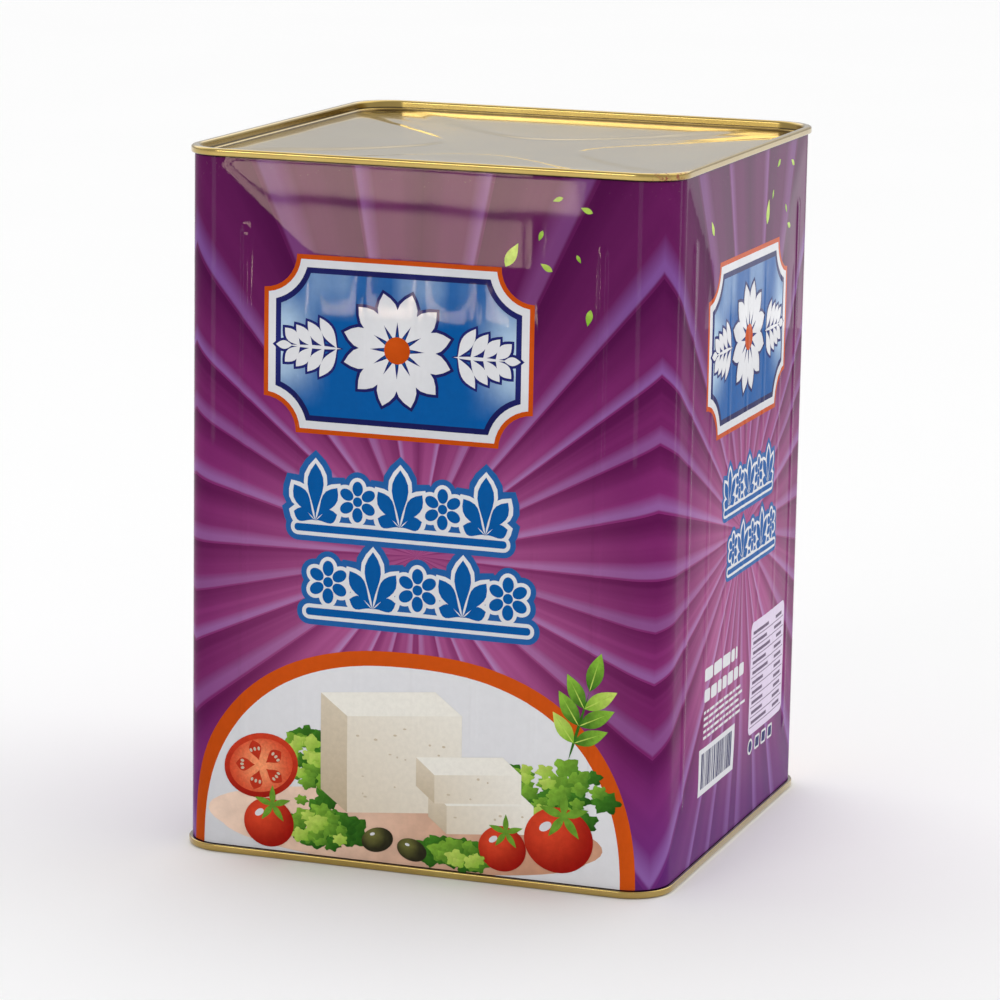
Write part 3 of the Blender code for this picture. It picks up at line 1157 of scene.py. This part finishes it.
@dataclass
class Frieze:
    """A band of palmettes and rosettes on a fillet, blue in a white and a blue outline."""

    left: float
    right: float
    base: float
    tall: float
    motifs: int = 5
    palmette_first: bool = True
    outer: float = 4.4
    inner: float = 1.8

    def outlines(self, grow: float) -> list[list[Point]]:
        """Return the outlines of every petal, leaf and bar, grown by a margin."""
        pitch = (self.right - self.left) / self.motifs
        made = [rounded_box(self.left - grow, self.base - grow, self.right + grow,
                            self.base + 0.11 * self.tall + grow, 0.05 * self.tall + grow, 5)]
        for index in range(self.motifs):
            x = self.left + pitch * (index + 0.5)
            if (index % 2 == 0) == self.palmette_first:
                made += self.palmette(x, pitch, grow)
            else:
                made += self.rosette(x, pitch, grow)
        return made

    def palmette(self, x: float, pitch: float, grow: float) -> list[list[Point]]:
        """Return the leaves of a palmette."""
        root = (x, self.base + 0.17 * self.tall)
        leaves = []
        for turn, share in ((90.0, 1.0), (56.0, 0.86), (124.0, 0.86), (18.0, 0.66), (162.0, 0.66)):
            length = 0.83 * self.tall * share
            length = min(length, 0.52 * pitch / max(0.1, abs(math.cos(math.radians(turn)))))
            width = 0.17 * self.tall + 0.1 * length
            leaves.append(grown_leaf(root, length, width, turn, grow, 0.66))
        return leaves

    def rosette(self, x: float, pitch: float, grow: float) -> list[list[Point]]:
        """Return the petals of a rosette and its middle."""
        size = min(0.40 * self.tall, 0.46 * pitch)
        middle = (x, self.base + 0.19 * self.tall + size)
        petals = [ellipse(middle, 0.24 * size + grow, 0.24 * size + grow, 20)]
        for petal in range(6):
            turn = 30.0 + 60.0 * petal
            centre = polar(middle, math.radians(turn), 0.64 * size)
            petals.append(ellipse(centre, 0.36 * size + grow, 0.27 * size + grow, 24, turn))
        return petals

    def draw(self, piece: PrintPiece) -> None:
        """Add the frieze to a piece."""
        fade = slope_tone((0.0, self.base - self.tall), (0.0, self.base + 1.2 * self.tall))
        passes = ((self.outer, Colours.BLUE, 1.0, even_tone(0.03)),
                  (self.inner, Colours.WHITE, 2.1, fade),
                  (0.0, Colours.BLUE, 3.2, even_tone(0.0)))
        for grow, colour, layer, tone in passes:
            for index, outline in enumerate(self.outlines(grow)):
                piece.add(outline, colour, layer + FRIEZE_STEP * index, tone)


@dataclass
class Plaque:
    """The blue plaque: a ticket with bitten corners, borders, a daisy and two laurel sprigs."""

    centre: Point = (-10.8, 243.5)
    half_wide: float = 65.0
    half_tall: float = 41.0
    bite: float = 16.0
    petals: int = 12
    glow_reach: float = 26.0
    borders: Sequence[tuple[float, Colours]] = (
        (0.0, Colours.ORANGE), (2.2, Colours.WHITE), (5.8, Colours.NAVY))
    field_inset: float = 8.4

    def ticket(self, inset: float, steps: int = 8) -> list[Point]:
        """Return the ticket's outline at an inset from its outer edge."""
        x, z = self.centre
        radius = self.bite + inset
        start = math.degrees(math.asin(inset / radius))
        points = []
        for index, (right, up) in enumerate(((1, 1), (-1, 1), (-1, -1), (1, -1))):
            corner = (x + right * self.half_wide, z + up * self.half_tall)
            for step in range(steps + 1):
                turn = 90.0 * index + 270.0 - start - (90.0 - 2 * start) * step / steps
                points.append(polar(corner, math.radians(turn), radius))
        return points

    def glow(self, u: float, z: float) -> float:
        """Return the field's tone: pale at both ends, a painted reflection as a wavy pale band
        above, deep in the middle.
        """
        x, y = u - self.centre[0], z - self.centre[1]
        end = ease((abs(x) - self.half_wide + 7.0 + self.glow_reach) / self.glow_reach)
        tall = 1.0 - ease((abs(y) - 4.0) / 26.0)
        wave = 0.55 + 0.45 * math.sin(x / 6.5 + math.sin(x / 3.7))
        # The wavy pale band at the top of the field is a painted reflection.
        painted_gloss = 0.30 * ease((y - 15.0) / 9.0) * wave
        return min(1.0, 0.9 * end * tall + max(0.0, painted_gloss))

    def draw(self, piece: PrintPiece) -> None:
        """Add the plaque to a piece."""
        rings = [(self.ticket(inset), colour) for inset, colour in self.borders]
        piece.add(self.ticket(self.field_inset), Colours.BLUE, 1.0, self.glow, rings)
        self.sprigs(piece)
        self.daisy(piece)

    def daisy(self, piece: PrintPiece) -> None:
        """Add the daisy in the middle, with a navy shade behind each petal."""
        x, z = self.centre
        tone = round_tone(self.centre, 40.0)
        for layer, grow, colour in ((2.2, 1.3, Colours.NAVY), (3.4, 0.0, Colours.WHITE)):
            for petal in range(self.petals):
                turn = 360.0 * (petal + 0.5) / self.petals
                root = polar(self.centre, math.radians(turn), 3.0)
                outline = grown_leaf(root, 23.5, 9.6, turn, grow, 0.64)
                piece.add(outline, colour, layer + PLAQUE_STEP * petal, tone)
        piece.add(ellipse(self.centre, 6.2, 6.2, 32), Colours.ORANGE, 4.6,
                  round_tone((x - 1.5, z + 2.0), 8.0))

    def sprigs(self, piece: PrintPiece) -> None:
        """Add a laurel sprig on each side of the daisy, on a navy shade."""
        for layer, grow, colour in ((2.2, 1.2, Colours.NAVY), (3.4, 0.0, Colours.WHITE)):
            for mirror in (-1.0, 1.0):
                for order, outline in enumerate(self.sprig(mirror, grow)):
                    piece.add(outline, colour, layer + PLAQUE_STEP * order, even_tone(0.8))

    def sprig(self, mirror: float, grow: float) -> list[list[Point]]:
        """Return the stem and the leaves of one sprig, grown by a margin."""
        x, z = self.centre
        outward = 0.0 if mirror > 0.0 else 180.0
        made = [grown_leaf((x + mirror * 27.0, z - 1.0), 27.0, 1.6, outward, grow)]
        for index in range(4):
            root = (x + mirror * (29.0 + 6.0 * index), z - 1.0)
            for up in (-1.0, 1.0):
                turn = 90.0 - mirror * (90.0 - up * (58.0 - 4.0 * index))
                made.append(grown_leaf(root, 16.0 - 1.7 * index, 5.8, turn, grow, 0.55))
        made.append(grown_leaf((x + mirror * 51.0, z - 1.0), 8.0, 4.0, outward, grow, 0.5))
        return made


@dataclass
class Window:
    """The white window at the foot of the print, in an orange band."""

    centre: float = -3.0
    half_wide: float = 109.5
    peak: float = 104.5
    foot: float = PRINT_FOOT
    power: float = 2.4
    band: float = 7.0
    steps: int = 60

    def outline(self, inset: float) -> list[Point]:
        """Return the arch at an inset from its outer edge."""
        wide, tall = self.half_wide - inset, self.peak - inset
        first = math.asin((self.foot / tall) ** (self.power / 2.0))
        points = []
        for step in range(self.steps + 1):
            angle = first + (math.pi - 2 * first) * step / self.steps
            c, s = math.cos(angle), math.sin(angle)
            x = math.copysign(abs(c) ** (2.0 / self.power), c) * wide
            points.append((self.centre + x, tall * s ** (2.0 / self.power)))
        return points

    def draw(self, piece: PrintPiece) -> None:
        """Add the window to a piece."""
        piece.add(self.outline(self.band), Colours.WHITE, 1.0,
                  slope_tone((-110.0, 0.0), (-30.0, 30.0)),
                  [(self.outline(0.0), Colours.ORANGE)])


class StillLife:
    """Cheese, cherry tomatoes, olives and herbs on a board, drawn in flat tones."""

    def __init__(self, piece: PrintPiece, seed: int) -> None:
        """Keep the piece that the drawing goes into, and start its random draws."""
        self.piece = piece
        self.random = random.Random(seed)

    def block(self, corner: Point, right: Point, deep: Point, tall: float, layer: float) -> None:
        """Draw a block of cheese from its near lower corner: its front, its side and its top."""
        x, z = corner
        up = (0.0, tall)
        front_tone = slope_tone((x, z - 4.0), (x + right[0], z + 1.6 * tall))
        side_tone = slope_tone((x + deep[0], z - 6.0), (x, z + 1.3 * tall))
        faces = ((corner, right, up, Colours.CREAM, front_tone),
                 (corner, up, deep, Colours.CREAM_SHADE, side_tone),
                 ((x, z + tall), right, deep, Colours.CREAM, even_tone(0.95)))
        for start, first, second, colour, tone in faces:
            beside, across = ((start[0] + run[0], start[1] + run[1]) for run in (first, second))
            opposite = (beside[0] + second[0], beside[1] + second[1])
            self.piece.add([start, beside, opposite, across], colour, layer, tone)
        for _ in range(round(right[0] * tall / 150.0)):
            hole = x + right[0] * self.random.uniform(0.08, 0.92)
            level = z + right[1] * (hole - x) / right[0] + tall * self.random.uniform(0.12, 0.88)
            wide, high = self.random.uniform(0.4, 1.0), self.random.uniform(0.3, 0.6)
            self.piece.add(ellipse((hole, level), wide, high, 8), Colours.CREAM_SHADE, layer + 0.5)

    def tomato(self, centre: Point, radius: float, layer: float) -> None:
        """Draw a cherry tomato with a highlight and a green star."""
        x, z = centre
        self.piece.add(ellipse(centre, radius, radius * 0.94), Colours.RED, layer,
                       round_tone((x - 0.3 * radius, z + 0.35 * radius), 1.5 * radius))
        shine = (x - 0.38 * radius, z + 0.36 * radius)
        self.piece.add(ellipse(shine, 0.2 * radius, 0.12 * radius, 14, 35.0), Colours.WHITE,
                       layer + 1.0)
        for ray in range(5):
            self.piece.add(leaf((x + 0.15 * radius, z + 0.7 * radius), 0.75 * radius, 0.24 * radius,
                                18.0 + 72.0 * ray), Colours.LEAF, layer + 1.0 + PLAQUE_STEP * ray)

    def half_tomato(self, centre: Point, radius: float, turn: float, layer: float) -> None:
        """Draw the cut face of a tomato, with its chambers of seeds."""
        x, z = centre
        self.piece.add(ellipse(centre, radius, radius * 0.8, 44, turn), Colours.RED, layer,
                       slope_tone((x, z - radius), (x, z + 1.4 * radius)))
        self.piece.add(ellipse(centre, radius * 0.86, radius * 0.66, 40, turn), Colours.FLESH,
                       layer + 0.8, round_tone(centre, radius * 0.9))
        for chamber in range(5):
            lean = math.radians(turn + 72.0 * chamber + 20.0)
            root = polar(centre, lean, 0.16 * radius, 0.13 * radius)
            self.piece.add(leaf(root, 0.52 * radius, 0.34 * radius, math.degrees(lean), 0.6),
                           Colours.RED, layer + 1.6)
            for seed in range(3):
                spread = lean + 0.22 * (seed - 1)
                place = polar(centre, spread, 0.5 * radius, 0.42 * radius)
                self.piece.add(ellipse(place, 0.05 * radius, 0.035 * radius, 8,
                                       math.degrees(spread)),
                               Colours.CREAM_SHADE, layer + 2.4)

    def olive(self, centre: Point, wide: float, turn: float, layer: float) -> None:
        """Draw an olive with its highlight."""
        x, z = centre
        self.piece.add(ellipse(centre, wide, wide * 0.72, 28, turn), Colours.OLIVE, layer,
                       round_tone((x - 0.3 * wide, z + 0.3 * wide), wide))
        shine = (x - 0.3 * wide, z + 0.32 * wide)
        self.piece.add(ellipse(shine, 0.16 * wide, 0.09 * wide, 10, turn), Colours.WHITE,
                       layer + 1.0)

    def bunch(self, centre: Point, wide: float, tall: float, count: int, layer: float) -> None:
        """Draw a bunch of curly herb leaves, the dark ones behind and the pale ones in front."""
        greens = [Colours.LEAF_DEEP] * 2 + [Colours.LEAF] * 2 + [Colours.LEAF_PALE]
        for index in range(count):
            share = index / count
            turn = math.radians(self.random.uniform(0.0, 360.0))
            away = math.sqrt(self.random.random()) * (1.0 - 0.25 * share)
            x, z = polar(centre, turn, wide * away, tall * away)
            size = self.random.uniform(3.6, 6.4) * (1.15 - 0.4 * share)
            outline = ruffle((x, z), size, self.random.choice((4, 5, 6)), 0.2,
                             self.random.uniform(0.0, 6.0), 0.75, 30)
            self.piece.add(outline, greens[int(share * len(greens))], layer + 1.2 * share,
                           slope_tone((x + size, z - size), (x - size, z + size)))

    def sprig(self, root: Point, length: float, turn: float, leaves: int, layer: float,
              size: float) -> None:
        """Draw a stem with pairs of leaves and a leaf at its tip, each with a pale vein."""
        self.piece.add(leaf(root, length, 1.3 * size, turn, 0.4), Colours.LEAF_DEEP, layer)
        for index in range(leaves + 1):
            place = polar(root, math.radians(turn), length * (0.25 + 0.75 * index / leaves))
            for hand in ((-1.0, 1.0) if index < leaves else (0.0,)):
                angle = turn + hand * (52.0 - 12.0 * index / leaves)
                long = size * (17.0 - 1.2 * abs(index - leaves * 0.4))
                long *= 1.15 if hand == 0.0 else 1.0
                green = (Colours.LEAF, Colours.LEAF_PALE, Colours.LEAF)[(index + int(hand)) % 3]
                tip = polar(place, math.radians(angle), long)
                above = layer + 0.1 * index
                self.piece.add(leaf(place, long, long * 0.42, angle, 0.45), green,
                               above + 0.1 + 0.05 * (hand > 0.0), slope_tone(place, tip))
                self.piece.add(leaf(place, long * 0.85, size * 0.5, angle, 0.3), Colours.LEAF_PALE,
                               above + 1.2, slope_tone(tip, place))

    def draw(self) -> None:
        """Draw the whole still life, from back to front."""
        for centre, wide, tall, layer, low, high in (
                ((-6.0, 21.0), 97.0, 17.5, 2.0, (90.0, 0.0), (-90.0, 34.0)),
                ((-6.0, 16.0), 90.0, 14.0, 2.6, (60.0, 0.0), (-90.0, 44.0))):
            board = box_arc(centre, wide, tall, PRINT_FOOT)
            self.piece.add(board, Colours.BOARD, layer, slope_tone(low, high))
        self.bunch((66.0, 44.0), 27.0, 20.0, 54, 3.0)
        self.bunch((-52.0, 44.0), 16.0, 20.0, 40, 3.0)
        self.block((-33.0, 26.0), (56.0, 5.5), (-13.0, 10.0), 46.0, 4.5)
        self.half_tomato((-76.0, 44.0), 19.0, 18.0, 4.6)
        self.block((16.0, 21.0), (42.0, 4.2), (-9.0, 7.5), 13.5, 5.7)
        self.block((10.0, 35.0), (42.0, 4.2), (-9.0, 7.5), 13.5, 6.5)
        self.bunch((-46.0, 16.0), 18.0, 9.5, 34, 5.6)
        self.tomato((70.0, 24.0), 16.5, 6.1)
        self.tomato((43.0, 17.0), 11.5, 7.6)
        self.tomato((-72.0, 17.0), 12.5, 7.3)
        self.olive((-18.0, 14.5), 8.0, 20.0, 7.2)
        self.olive((-1.0, 11.5), 7.4, -14.0, 7.4)
        self.bunch((20.0, 11.5), 16.0, 5.5, 24, 7.0)


def float_leaves(piece: PrintPiece, leaves: Sequence[tuple[float, float, float, float]]) -> None:
    """Add small single leaves, each given by its place, length and turn in degrees."""
    for x, z, length, turn in leaves:
        piece.add(leaf((x, z), length, 0.42 * length, turn), Colours.LEAF_PALE, 1.0,
                  slope_tone((x, z - length), (x, z + length)))


@dataclass
class FacePrint:
    """All the print above the rays on the front and back walls."""

    seed: int = 11
    leaves: Sequence[tuple[float, float, float, float]] = (
        (66.0, 317.0, 5.0, 200.0), (80.0, 311.0, 6.0, 160.0), (57.0, 302.0, 5.0, 250.0),
        (73.0, 292.0, 4.0, 300.0), (62.0, 284.0, 6.5, 150.0), (80.0, 268.0, 7.5, 260.0),
        (40.0, 285.0, 12.0, 62.0))

    def pieces(self) -> list[PrintPiece]:
        """Draw the plaque, the two friezes, the window, its still life, and a sprig and leaves."""
        names = ("plaque", "friezes", "window", "still_life", "leaves")
        plaque, friezes, window, food, leaves = made = [PrintPiece(name) for name in names]
        Plaque().draw(plaque)
        Frieze(-60.0, 43.0, 157.0, 32.0).draw(friezes)
        Frieze(-54.0, 55.0, 118.0, 32.0, palmette_first=False).draw(friezes)
        Window().draw(window)
        StillLife(food, self.seed).draw()
        StillLife(leaves, self.seed).sprig((74.0, 62.0), 34.0, 74.0, 3, 3.0, 1.1)
        float_leaves(leaves, self.leaves)
        return made


@dataclass
class SidePrint:
    """All the print above the rays on the two side walls."""

    seed: int = 23
    leaves: Sequence[tuple[float, float, float, float]] = (
        (52.0, 319.0, 6.0, 210.0), (76.0, 314.0, 6.0, 150.0), (40.0, 306.0, 5.0, 240.0),
        (60.0, 297.0, 5.0, 300.0), (28.0, 291.0, 12.0, 70.0), (70.0, 285.0, 6.5, 160.0),
        (-58.0, 296.0, 8.0, 120.0))

    def pieces(self) -> list[PrintPiece]:
        """Draw the plaque, two small friezes, the plain bars, the ruled panel and the leaves."""
        names = ("side_plaque", "side_friezes", "plain_bars", "ruled_panel", "side_leaves")
        plaque, friezes, bars, panel, leaves = made = [PrintPiece(name) for name in names]
        Plaque(centre=(0.5, 241.5)).draw(plaque)
        Frieze(-32.0, 48.0, 162.0, 21.0, outer=3.2, inner=1.3).draw(friezes)
        Frieze(-24.0, 56.0, 132.5, 21.0, palmette_first=False, outer=3.2, inner=1.3).draw(friezes)
        self.bars(bars)
        self.panel(panel)
        float_leaves(leaves, self.leaves)
        return made

    def bars(self, piece: PrintPiece, left: float = -56.0) -> None:
        """Add the rows of plain bars, and the box of upright bars."""
        draw = random.Random(self.seed)
        for low, high, right in ((88.5, 94.5, -5.0), (78.5, 84.5, 6.0)):
            x = left
            while x < right:
                wide = draw.uniform(5.0, 13.0)
                piece.add(rounded_box(x, low, min(x + wide, right + 2.0), high, 1.2, 3),
                          Colours.WHITE)
                x += wide + 1.8
        for line in range(5):
            x, z = left, 73.0 - 3.0 * line
            while x < 4.0 - 3.0 * (line % 3):
                wide = draw.uniform(3.0, 9.0)
                piece.add(box(x, z, x + wide, z + 1.3), Colours.WHITE)
                x += wide + 1.3
        piece.add(box(-61.0, 34.5, -4.0, 57.0), Colours.WHITE)
        x = -57.5
        while x < -9.0:
            wide = draw.choice((0.6, 0.6, 1.2, 1.8))
            piece.add(box(x, 37.5, x + wide, 54.5), Colours.NAVY, 2.0, even_tone(0.0))
            x += wide + draw.choice((0.7, 0.7, 1.4))

    def panel(self, piece: PrintPiece) -> None:
        """Add the pale ruled panel, with the ring and squares below it."""
        draw = random.Random(self.seed + 1)
        piece.add(rounded_box(20.0, 44.5, 80.5, 100.0, 4.0), Colours.LILAC)
        for row in range(10):
            z = 48.0 + 4.9 * row
            piece.add(box(22.0, z, 78.5, z + 0.4), Colours.GREY, 2.0)
            for left, right in ((24.0, 24.0 + draw.uniform(16.0, 30.0)),
                                (70.0 - draw.uniform(4.0, 9.0), 75.0)):
                piece.add(box(left, z + 1.6, right, z + 3.2), Colours.GREY, 2.0)
        piece.add(ellipse((25.0, 38.5), 4.0, 4.0, 28), Colours.WHITE)
        piece.add(ellipse((25.0, 38.5), 2.8, 2.8, 24), Colours.NAVY, 2.0)
        for left in (33.0, 44.0, 55.0):
            piece.add(rounded_box(left, 35.0, left + 8.0, 42.0, 1.2, 3), Colours.WHITE)
            piece.add(rounded_box(left + 1.1, 36.1, left + 6.9, 40.9, 0.6, 3), Colours.NAVY, 2.0)


WARM: Colour = (255, 226, 198)
WHITE_LIGHT: Colour = (255, 255, 255)
FRONT_WALL = (Side.FRONT,)
RIGHT_WALL = (Side.RIGHT,)


@dataclass(frozen=True)
class Softbox:
    """A soft light that faces a point."""

    name: str
    place: tuple[float, float, float]
    target: tuple[float, float, float]
    wide: float
    tall: float
    radiance: float
    colour: Colour = WHITE_LIGHT
    gloss_only: bool = False
    walls: tuple[Side, ...] = ()

    def build(self) -> None:
        """Add the light. The camera doesn't see it, nor do dull surfaces if it is for gloss."""
        lamp = bpy.data.lights.new(self.name, "AREA")
        lamp.shape = "RECTANGLE"
        lamp.size, lamp.size_y = self.wide, self.tall
        lamp.energy = self.radiance * math.pi * self.wide * self.tall
        lamp.color = linear(self.colour)[:3]
        holder = bpy.data.objects.new(self.name, lamp)
        holder.location = self.place
        away = Vector(self.target) - Vector(self.place)
        holder.rotation_euler = away.to_track_quat("-Z", "Y").to_euler()
        holder.visible_camera = False
        holder.visible_diffuse = not self.gloss_only
        bpy.context.scene.collection.objects.link(holder)
        if self.walls:
            self.flag(holder)

    def flag(self, holder: bpy.types.Object) -> None:
        """Let the light reach only its walls and their print, as a flag in a studio does."""
        reached = bpy.data.collections.new(self.name + "_reach")
        prefixes = tuple(side.name.lower() for side in self.walls)
        for piece in bpy.context.scene.objects:
            if piece.type == "MESH" and piece.name.startswith(prefixes):
                reached.objects.link(piece)
        holder.light_linking.receiver_collection = reached


@dataclass
class Studio:
    """The pale floor, the even surroundings, the soft lights and the camera.

    The strips make the glossy veils on the walls, and the two large lights light the whole tin.
    """

    azimuth: float = 19.269
    elevation: float = 11.298
    roll: float = 0.996
    place: tuple[float, float, float] = (0.65990, -1.89386, 0.55486)
    lens: float = 153.75
    horizon: float = 0.57
    front_sky: float = 0.55
    back_sky: float = 1.60
    front_to_back: Point = (-0.35, 0.35)
    above_horizon: Point = (0.25, 0.42)
    floor_half: float = 14.0
    sensor: float = 36.0
    sight: float = 60.0
    lights: Sequence[Softbox] = (
        Softbox("front_strip_low", (-0.538, -1.517, 0.054), (-0.538, 0.0, 0.054),
                0.19, 0.028, 118.0, WARM, True, FRONT_WALL),
        Softbox("front_strip_middle", (-0.66, -1.517, 0.180), (-0.66, 0.0, 0.180),
                0.47, 0.050, 92.0, WARM, True, FRONT_WALL),
        Softbox("front_strip_high", (-0.64, -1.517, 0.242), (-0.64, 0.0, 0.242),
                0.51, 0.059, 118.0, WARM, True, FRONT_WALL),
        Softbox("front_far", (-1.1, -3.0, 1.05), (-0.1, 0.0, 0.33), 1.3, 0.9, 3.9),
        Softbox("right_fill", (2.4, -0.9, 0.9), (0.1, 0.0, 0.2), 1.2, 1.0, 4.2, walls=tuple(Side)),
        Softbox("left_strip", (-0.80, -0.90, 0.25), (-0.05, 0.0, 0.25), 0.26, 0.6, 9.0,
                WHITE_LIGHT, True, (Side.FRONT, Side.LEFT)),
        Softbox("corner_strip", (0.16, -1.15, 0.25), (0.1, 0.0, 0.25), 0.22, 0.6, 9.0,
                WHITE_LIGHT, True, (Side.FRONT, Side.RIGHT)),
        Softbox("right_strip", (0.95, 0.55, 0.3), (0.1, 0.0, 0.25), 0.16, 0.7, 5.0,
                WHITE_LIGHT, True, RIGHT_WALL),
        Softbox("right_far_strip", (0.53, 1.5, 0.3), (0.1, 0.0, 0.25), 0.30, 0.7, 1.2,
                WHITE_LIGHT, True, RIGHT_WALL),
    )

    def build(self) -> None:
        """Add the whole studio."""
        scene = bpy.context.scene
        scene.view_settings.view_transform = "Standard"
        for light in self.lights:
            light.build()
        self.floor()
        self.world()
        self.camera()

    def floor(self) -> None:
        """Add the pale floor."""
        mesh = bmesh.new()
        bmesh.ops.create_grid(mesh, x_segments=2, y_segments=2, size=self.floor_half)
        data = to_data(mesh, "floor")
        made, sheet, shader = new_material("pale_floor")
        cloud = sheet.noise(sheet.object_place(), scale=3.0, detail=3.0)
        sheet.fill(shader, {"Base Color": sheet.mix(cloud, (249, 249, 249), (251, 251, 251)),
                            "Roughness": 0.85, "Specular IOR Level": 0.1})
        data.materials.append(made)
        floor = bpy.data.objects.new("floor", data)
        bpy.context.scene.collection.objects.link(floor)

    def world(self) -> None:
        """Set the even surroundings, dimmer near the horizon than above."""
        world = bpy.data.worlds.new("surroundings")
        bpy.context.scene.world = world
        world.use_nodes = True
        sheet = NodeSheet(world.node_tree)
        parts = sheet.split(sheet.node("ShaderNodeTexCoord").outputs["Generated"])
        high = sheet.between(parts[1], *self.front_to_back, self.front_sky, self.back_sky)
        above = sheet.between(parts[2], *self.above_horizon)
        brighter = sheet.math("SUBTRACT", high, self.horizon)
        level = sheet.math("MULTIPLY_ADD", above, brighter, self.horizon)
        sheet.fill(world.node_tree.nodes["Background"],
                   {"Color": (1.0, 1.0, 1.0, 1.0), "Strength": level})

    def camera(self) -> None:
        """Add the camera at the photograph's place."""
        data = bpy.data.cameras.new("camera")
        data.lens = self.lens
        data.sensor_width = self.sensor
        data.clip_end = self.sight
        camera = bpy.data.objects.new("camera", data)
        turn = Matrix.Rotation(math.radians(self.azimuth), 4, "Z")
        tilt = Matrix.Rotation(math.radians(90.0 - self.elevation), 4, "X")
        roll = Matrix.Rotation(math.radians(self.roll), 4, "Z")
        camera.matrix_world = Matrix.Translation(self.place) @ turn @ tilt @ roll
        bpy.context.scene.collection.objects.link(camera)
        bpy.context.scene.camera = camera


def main() -> None:
    """Build the tin and its studio."""
    logging.basicConfig(level=logging.INFO, format="%(name)s %(message)s")
    inks = {colour: colour.value.build() for colour in Colours}
    ground = RayPrint().build()
    lacquer = GoldLacquer().build()
    for side in Side:
        WallSheet(side).build(ground)
    SeamedEnd(at_top=True).build(lacquer)
    SeamedEnd(at_top=False).build(lacquer)
    for design, sides in ((FacePrint(), (Side.FRONT, Side.BACK)),
                          (SidePrint(), (Side.RIGHT, Side.LEFT))):
        for piece in design.pieces():
            piece.build(inks, *sides)
    Studio().build()


if __name__ == "__main__":
    main()
